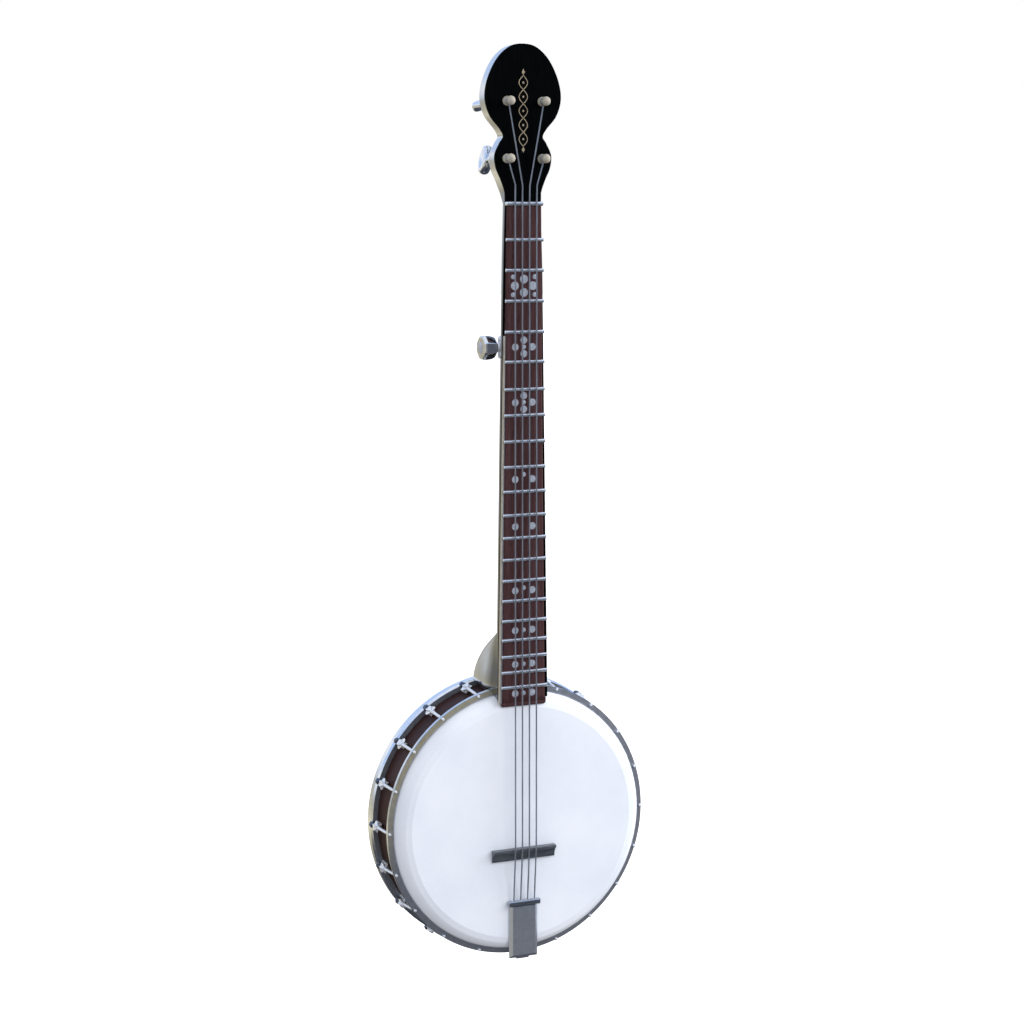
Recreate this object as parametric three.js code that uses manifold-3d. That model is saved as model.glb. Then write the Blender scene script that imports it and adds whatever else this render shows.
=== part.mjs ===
// An open-back banjo with four strings and five pegs, in millimetres. It stands upright: the neck runs
// along +Z, the head faces -Y and the open back faces +Y. Each piece is drawn about the centre of the
// tension hoop's front plane, and the finished group is then moved so that the origin is the waist of
// the peghead, where the yoke of a wall hanger carries the instrument.
import * as THREE from 'three';
import { mergeVertices } from 'three/addons/utils/BufferGeometryUtils.js';
import Module from 'manifold-3d';

const wasm = await Module();
wasm.setup();

// ---- Driving dimensions ----

const GAP = 0.3; // between touching pieces

// Strings, nut, bridge and frets
const NUT_Z = 645.5;
const BRIDGE_Z = -27.5;
const BRIDGE_CREST_Y = -21.2;
const NUT_TOP_Y = -19.9;
const STRING_RADIUS = 0.8;
const STRING_SPACING = 7.9;
const FRET_COUNT = 20;
const FRET_FIRST = 2.77; // a fret n lies FRET_FIRST + FRET_STEP n - FRET_SHRINK n^2 below the nut
const FRET_STEP = 33.3;
const FRET_SHRINK = 0.4253;
const FRET_WIDTH = 3.4;
const FRET_HEIGHT = 1.3;

// Layers of the neck, from the front back
const BOARD_TOP_Y = -18;
const VENEER_FRONT_Y = -13.7;
const VENEER_BACK_Y = -12.1;
const CORE_FRONT_Y = VENEER_BACK_Y + GAP;
const PEGHEAD_BACK_Y = 5.6;
const PEGHEAD_FOOT_Z = 667; // where the round neck turns into the flat peghead
const NECK_DEPTH = 20;
const NECK_END_Z = 133.5;
const BOARD_END_Z = 126.2;
const BINDING_END_Z = 130;
const HEEL_TOP_Z = 204;
const HEEL_DEPTH = 58;

// Pot
const POT_SEGMENTS = 64;
const HEAD_Y = -13.9;
const HEAD_DISC_R = 124.4;
const HEAD_SKIN = 1;
const CROWN = 14.9; // radius of the round edge where the head turns over the tone ring
const RIM_INNER_R = 122;
const RIM_OUTER_R = 141;
const RIM_FRONT_Y = 8.3;
const POT_BACK_Y = 57;
const HOOP_INNER_R = 139.7;
const HOOP_OUTER_R = 146;
const HOOP_DEPTH = 7.6;
const HOOP_FLANGE_DEPTH = 4.6;
const HOOP_SKIRT_R = 142.4;
const RING_OUTER_R = 148.5;
const RING_FRONT_Y = 45;
const ROD_Y = 34;
const ROD_RADIUS = 4.75;
const ROD_THREAD_R = 3;
const ROD_TOP_Z = 160; // inside the heel
const ROD_TAIL_Z = -152;

// Tension hooks, all but two of twenty even steps round the pot
const HOOK_STEPS = 20;
const HOOK_SHANK_R = 1.1;
const HOOK_BALL_R = 1.6;
const HOOK_TIP = [0, -1.5, 144.2]; // the shank leans outwards from its ball to its nut
const HOOK_END = [0, 44.4, 148.2];
const HOOK_NUT_R = 3.6;
const HOOK_NUT_LENGTH = 6.6;
const STAR_Y = 31;
const STAR_RADIUS = 6.3;
const STAR_DEPTH = 5.4;

// Pegs
const POST_X = 19.2;
const POST_Z = { upper: 747.4, lower: 690.5 };
const POST_SHAFT_R = 3;
const POST_WAIST_R = 2.2;
const POST_WAIST_Y = -22.3;
const REST_ANGLES = [-0.3, 0.5, 1.78, 0.9]; // where the four buttons were left
const HOUSING_DEPTH = 15;
const BUTTON_Y = 39;
const FIFTH_Z = 500.5;
const FIFTH_Y = -6.5;
const FIFTH_STAND = 5.3; // how far the post carries its knob out from the neck
const PEG_CLEARANCE = 0.4;

// Tailpiece
const TAIL_TOP_Z = -83.5;
const TAIL_END_Z = -146.5;
const TAIL_BACK_Y = -14.4;
const TAIL_FRONT_Y = -17.9;
const TAIL_HALF = 16.3;
const BAR_DEPTH = 5.5;
const HANGER_THICK = 2;
const HANGER_OUTER_R = RIM_OUTER_R + HANGER_THICK + 2 * GAP; // where the strap lies along the rim

const WAIST_Z = 712.5; // the peghead's waist, where a wall hanger's yoke holds it

// ---- Materials ----

function finish(color, roughness, metalness) {
  return new THREE.MeshStandardMaterial({ color, roughness, metalness });
}

const MATERIALS = {
  lacquer: finish(0xb8bcc2, 0.32, 0.85),
  veneer: finish(0x0b0c0d, 0.3, 0),
  rosewood: finish(0x3c2a2c, 0.5, 0),
  ivory: finish(0xcdc8be, 0.4, 0),
  chrome: finish(0xc6ccd4, 0.18, 1),
  steel: finish(0x767c86, 0.35, 1),
  grey: finish(0x6c717a, 0.45, 0.8),
  graphite: finish(0x3c4248, 0.3, 0.5),
  skin: finish(0xe6e9f2, 0.6, 0),
  mahogany: finish(0x3e2828, 0.55, 0),
};

// ---- Helpers ----

// A closed geometry as a manifold-3d solid.
function solid(geometry) {
  const bare = geometry.index ? geometry.toNonIndexed() : geometry.clone();
  bare.deleteAttribute('normal');
  bare.deleteAttribute('uv');
  const merged = mergeVertices(bare, 1e-4);
  const corners = Array.from(merged.index.array);
  const kept = [];
  for (let i = 0; i < corners.length; i += 3) {
    const [a, b, c] = corners.slice(i, i + 3);
    if (a !== b && b !== c && c !== a) kept.push(a, b, c);
  }
  const vertProperties = merged.attributes.position.array;
  const triVerts = new Uint32Array(kept);
  return new wasm.Manifold(new wasm.Mesh({ numProp: 3, vertProperties, triVerts }));
}

// A named mesh from a manifold-3d solid.
function piece(name, body, material) {
  const { numProp, vertProperties, triVerts } = body.getMesh();
  const count = vertProperties.length / numProp;
  const positions = new Float32Array(count * 3);
  for (let i = 0; i < count; i++) {
    positions.set(vertProperties.subarray(i * numProp, i * numProp + 3), i * 3);
  }
  const geometry = new THREE.BufferGeometry();
  geometry.setAttribute('position', new THREE.BufferAttribute(positions, 3));
  geometry.setIndex(new THREE.BufferAttribute(triVerts, 1));
  geometry.computeVertexNormals();
  const mesh = new THREE.Mesh(geometry, material);
  mesh.name = name;
  return mesh;
}

const join = (bodies) => bodies.reduce((whole, body) => whole.add(body));

// A body turned about the Y axis from [radius, y] points, which end on the axis or close on themselves.
function turned(profile, segments) {
  const points = profile.map(([radius, y]) => new THREE.Vector2(radius, y));
  if (THREE.ShapeUtils.isClockWise(points)) points.reverse();
  if (points[0].x > 0 || points[points.length - 1].x > 0) points.push(points[0].clone());
  return solid(new THREE.LatheGeometry(points, segments));
}

// A shape drawn in x and z, made solid between two y values.
function slab(shape, frontY, backY) {
  const depth = backY - frontY;
  const geometry = new THREE.ExtrudeGeometry(shape, { depth, bevelEnabled: false });
  return solid(geometry.rotateX(Math.PI / 2).translate(0, backY, 0));
}

// A profile of [y, z] points, made solid between two x values.
function bar(profile, fromX, toX) {
  const shape = new THREE.Shape(profile.map(([y, z]) => new THREE.Vector2(y, z)));
  const geometry = new THREE.ExtrudeGeometry(shape, { depth: toX - fromX, bevelEnabled: false });
  const axes = new THREE.Matrix4().set(0, 0, 1, fromX, 1, 0, 0, 0, 0, 1, 0, 0, 0, 0, 0, 1);
  return solid(geometry.applyMatrix4(axes));
}

// A body through convex rings of equally many points, closed at both ends.
function loft(rings) {
  const size = rings[0].length;
  const positions = rings.flat().flatMap((point) => point.toArray());
  const index = [];
  for (let ring = 0; ring + 1 < rings.length; ring++) {
    for (let i = 0; i < size; i++) {
      const a = ring * size + i;
      const b = ring * size + ((i + 1) % size);
      index.push(a, b, b + size, a, b + size, a + size);
    }
  }
  const last = (rings.length - 1) * size;
  for (let i = 1; i + 1 < size; i++) {
    index.push(0, i + 1, i);
    index.push(last, last + i, last + i + 1);
  }
  const geometry = new THREE.BufferGeometry();
  geometry.setAttribute('position', new THREE.Float32BufferAttribute(positions, 3));
  geometry.setIndex(index);
  return solid(geometry);
}

// A round rod between two points.
function rod(from, to, radius, sides = 12) {
  const start = new THREE.Vector3(...from);
  const along = new THREE.Vector3(...to).sub(start);
  const length = along.length();
  const geometry = new THREE.CylinderGeometry(radius, radius, length, sides);
  geometry.translate(0, length / 2, 0);
  const turn = new THREE.Quaternion();
  turn.setFromUnitVectors(new THREE.Vector3(0, 1, 0), along.normalize());
  return solid(geometry.applyQuaternion(turn).translate(...from));
}

// A block between its lowest and its highest corner.
function box(low, high) {
  const size = high.map((value, axis) => value - low[axis]);
  const centre = high.map((value, axis) => (value + low[axis]) / 2);
  return solid(new THREE.BoxGeometry(...size).translate(...centre));
}

// A body moved from the twelve o'clock place round the pot by an angle.
function placedAround(body, angle) {
  return body.rotate([0, THREE.MathUtils.radToDeg(angle), 0]);
}

// ---- Outlines that several pieces share ----

// Half widths of the neck and of the fingerboard at a height along the neck.
const neckHalf = (z) => THREE.MathUtils.mapLinear(z, NUT_Z, 150, 19.6, 27);
const boardHalf = (z) => THREE.MathUtils.mapLinear(z, NUT_Z, 136, 18.6, 24.5);

const fretZ = (n) => NUT_Z - FRET_FIRST - FRET_STEP * n + FRET_SHRINK * n * n;

// The crown's round edge from the flat disc out to the wall, drawn in by inset.
function crownArc(inset, steps) {
  const points = [];
  for (let i = 0; i <= steps; i++) {
    const turn = (i / steps) * (Math.PI / 2);
    const radius = CROWN - inset;
    points.push([HEAD_DISC_R + radius * Math.sin(turn), HEAD_Y + CROWN - radius * Math.cos(turn)]);
  }
  return points;
}

// The peghead's outline, with the neck below it down to a given height.
function pegheadShape(bottomZ) {
  const right = [
    [19.9, 656],
    [24, 668.5],
    [29.6, 681],
    [31, 694],
    [25.6, 706],
    [21.7, WAIST_Z],
    [25.6, 720],
    [36.4, 733],
    [41.6, 750],
    [38.6, 769],
    [28.5, 789],
    [14.5, 801.5],
    [0, 804.5],
  ];
  const left = right.slice(0, -1).reverse().map(([x, z]) => [-x, z]);
  const outline = [...right, ...left].map(([x, z]) => new THREE.Vector2(x, z));
  const curve = new THREE.SplineCurve(outline);
  const shape = new THREE.Shape();
  shape.moveTo(neckHalf(bottomZ), bottomZ);
  for (const point of curve.getPoints(56)) shape.lineTo(point.x, point.y);
  shape.lineTo(-neckHalf(bottomZ), bottomZ);
  return shape;
}

// ---- Neck ----

// One ring of the neck: flat on the front and round behind, with power making it squarer.
function neckRing(z, halfWidth, depth, power, swell = 1) {
  const steps = 12;
  const ring = [];
  for (let i = 0; i <= steps; i++) {
    const turn = (i / steps) * Math.PI;
    const across = Math.sign(Math.cos(turn)) * Math.abs(Math.cos(turn)) ** (2 / power);
    const y = CORE_FRONT_Y + depth * Math.sin(turn) ** (2 / power);
    const wider = THREE.MathUtils.lerp(1, swell, THREE.MathUtils.smoothstep(y, -4, 10));
    ring.push(new THREE.Vector3(halfWidth * across * wider, y, z));
  }
  return ring;
}

// The heel's foot swells towards the rim and rounds in again where it meets it.
function footSwell(z) {
  const wider = 0.26 * (1 - THREE.MathUtils.smoothstep(z, 145, 196));
  const rounding = Math.max(0, (149 - z) / (149 - NECK_END_Z)) ** 2;
  return 1 + wider - 0.36 * rounding;
}

function neckShaft() {
  const rings = [];
  const heelStations = [NECK_END_Z, 139.5, 142, 145, 149, 154, 160, 167, 175, 182, 188, 193, 197.5, 201, HEEL_TOP_Z];
  for (const z of heelStations) {
    const rise = Math.max(0, (z - 140) / (HEEL_TOP_Z - 140));
    const power = THREE.MathUtils.lerp(4, 2.6, rise);
    const depth = NECK_DEPTH + HEEL_DEPTH * (1 - rise ** 2.8);
    rings.push(neckRing(z, neckHalf(z) - 0.4 * (1 - rise), depth, power, footSwell(z)));
  }
  rings.push(neckRing(NUT_Z, neckHalf(NUT_Z), NECK_DEPTH, 2.6));
  rings.push(neckRing(PEGHEAD_FOOT_Z - 10, 19.9, PEGHEAD_BACK_Y - CORE_FRONT_Y, 3));
  rings.push(neckRing(PEGHEAD_FOOT_Z + 1, 23.4, PEGHEAD_BACK_Y - CORE_FRONT_Y, 8));
  return loft(rings);
}

// The space that the pot takes up beneath and in front of the heel.
function potClearance() {
  const room = 0.4;
  return turned(
    [
      [0, HEAD_Y - room],
      ...crownArc(-room, 6).filter(([, y]) => y < -room),
      [HOOP_INNER_R - room, -room],
      [HOOP_OUTER_R + room, -room],
      [HOOP_OUTER_R + room, HOOP_DEPTH + room],
      [RIM_OUTER_R + room, HOOP_DEPTH + room],
      [RIM_OUTER_R + room, RING_FRONT_Y - room],
      [RING_OUTER_R + room, RING_FRONT_Y - room],
      [RING_OUTER_R + room, 120],
      [0, 120],
    ],
    POT_SEGMENTS,
  );
}

function pegs() {
  const list = [];
  for (const level of ['upper', 'lower']) {
    for (const side of [-1, 1]) list.push({ side, level, x: side * POST_X, z: POST_Z[level] });
  }
  return list;
}

const pegHoles = () =>
  join(pegs().map(({ x, z }) => rod([x, -40, z], [x, 40, z], POST_SHAFT_R + PEG_CLEARANCE)));

// The peghead behind its veneer, cut off where the round neck takes over.
function pegheadCore() {
  const whole = slab(pegheadShape(NUT_Z), CORE_FRONT_Y, PEGHEAD_BACK_Y);
  return whole.subtract(box([-60, -40, NUT_Z - 20], [60, 40, PEGHEAD_FOOT_Z]));
}

function neck() {
  const core = neckShaft().add(pegheadCore());
  const rodHole = rod([0, ROD_Y, 100], [0, ROD_Y, ROD_TOP_Z + 4], ROD_THREAD_R + PEG_CLEARANCE);
  const holeRadius = POST_SHAFT_R + PEG_CLEARANCE;
  const fifthHole = rod([-60, FIFTH_Y, FIFTH_Z], [-12, FIFTH_Y, FIFTH_Z], holeRadius);
  return core.subtract(potClearance()).subtract(pegHoles()).subtract(rodHole).subtract(fifthHole);
}

const veneer = () => slab(pegheadShape(NECK_END_Z), VENEER_FRONT_Y, VENEER_BACK_Y).subtract(pegHoles());

// One ring of the fingerboard, with a bevel along each long edge.
function boardRing(z, halfWidth, topY, baseY) {
  const bevel = 1.3;
  const shoulderY = Math.min(baseY - 0.2, topY + bevel);
  const section = [
    [-halfWidth, baseY],
    [-halfWidth, shoulderY],
    [-halfWidth + bevel, topY],
    [halfWidth - bevel, topY],
    [halfWidth, shoulderY],
    [halfWidth, baseY],
  ];
  return section.map(([x, y]) => new THREE.Vector3(x, y, z));
}

function fret(n) {
  const z = fretZ(n);
  const half = FRET_WIDTH / 2;
  const crown = BOARD_TOP_Y - FRET_HEIGHT;
  const reach = boardHalf(z) + 0.7;
  const section = [
    [BOARD_TOP_Y + 0.1, z - half],
    [BOARD_TOP_Y - 0.35, z - half],
    [crown, z - half * 0.35],
    [crown, z + half * 0.35],
    [BOARD_TOP_Y - 0.35, z + half],
    [BOARD_TOP_Y + 0.1, z + half],
  ];
  return bar(section, -reach, reach);
}

// The fingerboard and its frets, which are pressed into it.
function fingerboard() {
  const base = VENEER_FRONT_Y - GAP;
  const endBase = base - 0.3;
  const rings = [
    boardRing(BOARD_END_Z, boardHalf(BOARD_END_Z) - 3, BOARD_TOP_Y + 2.9, endBase),
    boardRing(BOARD_END_Z + 1.5, boardHalf(BOARD_END_Z) - 1, BOARD_TOP_Y + 2.3, endBase),
    boardRing(BOARD_END_Z + 4, boardHalf(BOARD_END_Z), BOARD_TOP_Y + 1.4, endBase),
    boardRing(BOARD_END_Z + 10.5, boardHalf(BOARD_END_Z + 10.5), BOARD_TOP_Y, base),
    boardRing(NUT_Z - 2.6, boardHalf(NUT_Z - 2.6), BOARD_TOP_Y, base),
  ];
  let board = loft(rings);
  for (let n = 1; n <= FRET_COUNT; n++) board = board.add(fret(n));
  return board;
}

// The pale strip beside the fingerboard, from the fifth peg down to the body.
function sideBinding() {
  const top = BOARD_TOP_Y + 0.8;
  const base = VENEER_FRONT_Y - GAP;
  const bevel = 0.3;
  const insets = [
    [BINDING_END_Z, 0.4],
    [BINDING_END_Z + 3, 0],
    [FIFTH_Z + 9, 0],
    [FIFTH_Z + 12, 0.4],
  ];
  const rings = [];
  for (const [z, inset] of insets) {
    const outer = -neckHalf(z) + inset;
    const inner = -boardHalf(z) - GAP;
    const section = [
      [outer, base],
      [outer, top + bevel],
      [outer + bevel, top],
      [inner, top],
      [inner, base],
    ];
    rings.push(section.map(([x, y]) => new THREE.Vector3(x, y, z)));
  }
  return loft(rings);
}

// A half-round bar across the top of the fingerboard.
function nut() {
  const half = 2.25;
  const base = VENEER_FRONT_Y - GAP;
  const section = [[base, -half], [NUT_TOP_Y + half, -half]];
  for (let i = 1; i < 6; i++) {
    const turn = (i / 6) * Math.PI;
    section.push([NUT_TOP_Y + half - half * Math.sin(turn), -half * Math.cos(turn)]);
  }
  section.push([NUT_TOP_Y + half, half], [base, half]);
  const reach = neckHalf(NUT_Z) + 0.6;
  return bar(section.map(([y, z]) => [y, z + NUT_Z]), -reach, reach);
}

// ---- Pot ----

function head() {
  const wall = HEAD_DISC_R + CROWN;
  return turned(
    [
      [0, HEAD_Y],
      ...crownArc(0, 5),
      [wall, HOOP_DEPTH],
      [wall - HEAD_SKIN, HOOP_DEPTH],
      ...crownArc(HEAD_SKIN, 3).reverse(),
      [0, HEAD_Y + HEAD_SKIN],
    ],
    POT_SEGMENTS,
  );
}

// The cast ring under the head, raised at its inner edge.
function toneRing() {
  const inset = HEAD_SKIN + GAP;
  const under = crownArc(inset, 3);
  const back = RIM_FRONT_Y - GAP;
  const wall = HEAD_DISC_R + CROWN - inset;
  const profile = [[RIM_INNER_R, back], [RIM_INNER_R, under[0][1]], ...under, [wall, back]];
  return turned(profile, POT_SEGMENTS);
}

function rim() {
  const ring = turned(
    [
      [RIM_INNER_R, RIM_FRONT_Y],
      [RIM_OUTER_R, RIM_FRONT_Y],
      [RIM_OUTER_R, POT_BACK_Y],
      [RIM_INNER_R, POT_BACK_Y],
    ],
    POT_SEGMENTS,
  );
  return ring.subtract(rod([0, ROD_Y, -160], [0, ROD_Y, 160], ROD_THREAD_R + PEG_CLEARANCE));
}

// The hoop has a flange in front, which the hooks pass through, and a thinner skirt behind.
function tensionHoop() {
  let hoop = turned(
    [
      [HOOP_INNER_R, HOOP_DEPTH],
      [HOOP_INNER_R, 0.6],
      [HOOP_INNER_R + 0.6, 0],
      [HOOP_OUTER_R - 0.8, 0],
      [HOOP_OUTER_R, 0.8],
      [HOOP_OUTER_R, HOOP_FLANGE_DEPTH],
      [HOOP_SKIRT_R, HOOP_FLANGE_DEPTH],
      [HOOP_SKIRT_R, HOOP_DEPTH],
    ],
    POT_SEGMENTS,
  );
  const hole = rod(alongHook(-2), alongHook(12), HOOK_SHANK_R + 0.25, 6);
  for (const angle of hookAngles()) hoop = hoop.subtract(placedAround(hole, angle));
  return hoop;
}

function hookAngles() {
  const angles = [];
  for (let step = 1; step < HOOK_STEPS; step++) {
    if (step !== HOOK_STEPS / 2) angles.push((step / HOOK_STEPS) * Math.PI * 2);
  }
  return angles;
}

// The point on a hook's axis at a given y, for the hook at twelve o'clock.
function alongHook(y) {
  const share = (y - HOOK_TIP[1]) / (HOOK_END[1] - HOOK_TIP[1]);
  return [0, y, HOOK_TIP[2] + share * (HOOK_END[2] - HOOK_TIP[2])];
}

// A six-pointed lug that a hook passes through, with the arm that ties it to the back ring.
function starLug() {
  const star = new THREE.Shape();
  for (let i = 0; i < 12; i++) {
    const reach = i % 2 ? STAR_RADIUS * 0.62 : STAR_RADIUS;
    const turn = (i / 12) * Math.PI * 2;
    const point = [reach * Math.cos(turn), reach * Math.sin(turn)];
    if (i) star.lineTo(...point);
    else star.moveTo(...point);
  }
  const geometry = new THREE.ExtrudeGeometry(star, { depth: STAR_DEPTH, bevelEnabled: false });
  geometry.rotateX(Math.PI / 2).translate(0, STAR_Y + STAR_DEPTH / 2, alongHook(STAR_Y)[2]);
  const arm = box([-3, STAR_Y, RIM_OUTER_R + GAP], [3, RING_FRONT_Y + 1, RIM_OUTER_R + 2.6]);
  return solid(geometry).add(arm);
}

function backRing() {
  const inner = RIM_OUTER_R + GAP;
  let ring = turned(
    [
      [inner, POT_BACK_Y],
      [inner, RING_FRONT_Y],
      [RING_OUTER_R - 1.4, RING_FRONT_Y],
      [RING_OUTER_R, RING_FRONT_Y + 1.8],
      [RING_OUTER_R, POT_BACK_Y - 0.8],
      [RING_OUTER_R - 0.8, POT_BACK_Y],
    ],
    POT_SEGMENTS,
  );
  const hole = rod(alongHook(0), alongHook(RING_FRONT_Y - 0.4), HOOK_SHANK_R + PEG_CLEARANCE, 6);
  const lug = starLug().subtract(hole);
  for (const angle of hookAngles()) ring = ring.add(placedAround(lug, angle));
  return ring;
}

// A hook: the ball at its tip rests on the hoop, and the nut at its other end pulls on the lug.
function tensionHook() {
  const nutStart = alongHook(HOOK_END[1] - HOOK_NUT_LENGTH);
  return join([
    solid(new THREE.SphereGeometry(HOOK_BALL_R, 6, 4).translate(...HOOK_TIP)),
    rod(HOOK_TIP, alongHook(HOOK_END[1] - 0.5), HOOK_SHANK_R, 6),
    rod(nutStart, HOOK_END, HOOK_NUT_R, 6),
  ]);
}

// The steel rod across the inside of the pot, threaded into the heel and held by a nut at the tail.
function coordinatorRod() {
  const shoulder = RIM_INNER_R - GAP - 0.4;
  return join([
    rod([0, ROD_Y, -shoulder], [0, ROD_Y, shoulder], ROD_RADIUS, 14),
    rod([0, ROD_Y, ROD_TAIL_Z], [0, ROD_Y, ROD_TOP_Z], ROD_THREAD_R, 10),
  ]);
}

function tailNut() {
  const seat = -(HANGER_OUTER_R + GAP);
  const blank = rod([0, ROD_Y, seat], [0, ROD_Y, seat - 5.5], 6.4, 6);
  return blank.subtract(rod([0, ROD_Y, -120], [0, ROD_Y, -170], ROD_THREAD_R + PEG_CLEARANCE));
}

// ---- Bridge and tailpiece ----

// A dark wedge with its crest on the neck side and a hollow slope behind.
function bridge() {
  const base = HEAD_Y - GAP;
  const back = BRIDGE_Z - 11.8;
  const half = 35.6;
  const section = [
    [base, BRIDGE_Z + 1.2],
    [BRIDGE_CREST_Y + 0.7, BRIDGE_Z + 1],
    [BRIDGE_CREST_Y, BRIDGE_Z + 0.4],
    [BRIDGE_CREST_Y, BRIDGE_Z - 1.6],
    [BRIDGE_CREST_Y + 1.6, BRIDGE_Z - 3.4],
    [BRIDGE_CREST_Y + 3.6, BRIDGE_Z - 6],
    [BRIDGE_CREST_Y + 4.9, BRIDGE_Z - 9],
    [BRIDGE_CREST_Y + 5.3, back],
    [base, back],
  ];
  return bar(section, -half, half);
}

function tailpiecePlate() {
  const top = TAIL_TOP_Z - BAR_DEPTH - GAP;
  const bevel = 3.4;
  const ring = (y, half, low, high) => [
    new THREE.Vector3(-half, y, low),
    new THREE.Vector3(-half, y, high),
    new THREE.Vector3(half, y, high),
    new THREE.Vector3(half, y, low),
  ];
  return loft([
    ring(TAIL_FRONT_Y, TAIL_HALF - bevel, TAIL_END_Z + bevel, top - 0.6),
    ring(TAIL_BACK_Y - 0.8, TAIL_HALF, TAIL_END_Z, top),
    ring(TAIL_BACK_Y, TAIL_HALF, TAIL_END_Z, top),
  ]);
}

// The bar that holds the strings' ends.
function tailpieceBar() {
  const low = TAIL_TOP_Z - BAR_DEPTH;
  const section = [
    [TAIL_BACK_Y, low],
    [TAIL_FRONT_Y - 1, low],
    [TAIL_FRONT_Y - 1.8, low + 0.8],
    [TAIL_FRONT_Y - 1.8, TAIL_TOP_Z - 0.8],
    [TAIL_FRONT_Y - 1, TAIL_TOP_Z],
    [TAIL_BACK_Y, TAIL_TOP_Z],
  ];
  return bar(section, -TAIL_HALF - 1.7, TAIL_HALF + 1.7);
}

// The bent strap from behind the tailpiece, round the hoop, to the rod's end at the rim.
function tailHanger() {
  const outside = -HANGER_OUTER_R;
  const round = -(HOOP_OUTER_R + 2 * GAP);
  const front = TAIL_BACK_Y + GAP;
  const tip = TAIL_END_Z + 10.5;
  const low = RING_FRONT_Y - 1;
  const section = [
    [front, tip],
    [front, round - HANGER_THICK],
    [16, round - HANGER_THICK],
    [21, outside],
    [low, outside],
    [low, outside + HANGER_THICK],
    [20, outside + HANGER_THICK],
    [15, round],
    [front + HANGER_THICK, round],
    [front + HANGER_THICK, tip],
  ];
  const hole = rod([0, ROD_Y, -120], [0, ROD_Y, -170], ROD_THREAD_R + PEG_CLEARANCE);
  return bar(section, -7, 7).subtract(hole);
}

// ---- Pegs ----

// Part of a round outline about a centre on the axis, as [radius, y] points between two distances from it.
function ballArc(centreY, radius, from, to, steps) {
  const points = [];
  for (let i = 0; i <= steps; i++) {
    const turn = THREE.MathUtils.lerp(Math.asin(from / radius), Math.asin(to / radius), i / steps);
    points.push([radius * Math.cos(turn), centreY + radius * Math.sin(turn)]);
  }
  return points;
}

// A string post: a shaft through the peghead that ends in two balls with a waist between them.
function tunerPost() {
  const tip = ballArc(-27.7, 5, -4.99, 4.2, 5);
  tip[0][0] = 0;
  const collar = ballArc(-16.9, 5.3, -4.2, 2.85, 4);
  const waist = [[POST_WAIST_R, tip[5][1]], [POST_WAIST_R, collar[0][1]]];
  const shaft = [[POST_SHAFT_R, collar[4][1]], [POST_SHAFT_R, PEGHEAD_BACK_Y], [0, PEGHEAD_BACK_Y]];
  return turned([...tip, ...waist, ...collar, ...shaft], 10);
}

// The gear case behind the peghead.
function tunerHousing() {
  const from = PEGHEAD_BACK_Y + GAP;
  const profile = [
    [0, from],
    [8, from],
    [8, from + 1.5],
    [6.6, from + 2],
    [6.6, from + 12],
    [4.8, from + HOUSING_DEPTH],
    [0, from + HOUSING_DEPTH],
  ];
  return turned(profile, 12);
}

// A flat oval button on its own shaft, turned to the angle it was left at.
function tunerButton(restAngle) {
  const from = PEGHEAD_BACK_Y + GAP * 2 + HOUSING_DEPTH;
  const paddle = new THREE.SphereGeometry(1, 12, 6).scale(14, 8, 5.5);
  const shaft = rod([0, from, 0], [0, BUTTON_Y, 0], 2.4, 8);
  return shaft.add(solid(paddle.rotateY(restAngle).translate(0, BUTTON_Y, 0)));
}

const FIFTH_SIDE = -(neckHalf(FIFTH_Z) + 0.3); // the side face of the neck at the fifth peg

// Turns a body drawn about the Y axis so that it stands out of the left side of the neck.
const atFifth = (body, x) => body.rotate([0, 0, 90]).translate([x, FIFTH_Y, FIFTH_Z]);

// The plate under the fifth peg, with two round screw heads.
function fifthPlate() {
  const low = [FIFTH_SIDE - 1.6, FIFTH_Y - 4, FIFTH_Z - 11.5];
  const plate = box(low, [FIFTH_SIDE, FIFTH_Y + 4, FIFTH_Z + 11.5]);
  const screw = (z) => rod([FIFTH_SIDE - 2.5, FIFTH_Y, z], [FIFTH_SIDE - 1, FIFTH_Y, z], 2.3, 8);
  const hole = rod([-60, FIFTH_Y, FIFTH_Z], [0, FIFTH_Y, FIFTH_Z], POST_SHAFT_R + PEG_CLEARANCE);
  return join([plate, screw(FIFTH_Z - 8), screw(FIFTH_Z + 8)]).subtract(hole);
}

// The post of the fifth peg, with the groove that its string would wind in.
function fifthPost() {
  const profile = [
    [0, -8],
    [POST_SHAFT_R, -8],
    [POST_SHAFT_R, 1.9],
    [4.9, 1.9],
    [4.9, 2.3],
    [4.1, 2.8],
    [4.1, 4.3],
    [4.9, 4.8],
    [4.9, FIFTH_STAND],
    [0, FIFTH_STAND],
  ];
  return turned(profile, 12);
}

// The eight-sided knob of the fifth peg.
function fifthButton() {
  const profile = [
    [0, 0],
    [4, 0],
    [9.4, 2.4],
    [11.2, 5],
    [11.2, 13.2],
    [9.6, 15.8],
    [6.4, 16.4],
    [0, 16.4],
  ];
  return turned(profile, 8);
}

// ---- Strings ----

// A wire through some points. Its lengths run into each other a little, so that each bend is closed.
function wire(points) {
  const overlap = 0.4;
  const pieces = [];
  for (let i = 0; i + 1 < points.length; i++) {
    const along = points[i + 1].clone().sub(points[i]).normalize();
    const from = points[i].clone();
    if (i > 0) from.addScaledVector(along, -overlap);
    pieces.push(rod(from.toArray(), points[i + 1].toArray(), STRING_RADIUS, 6));
  }
  return join(pieces);
}

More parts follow.
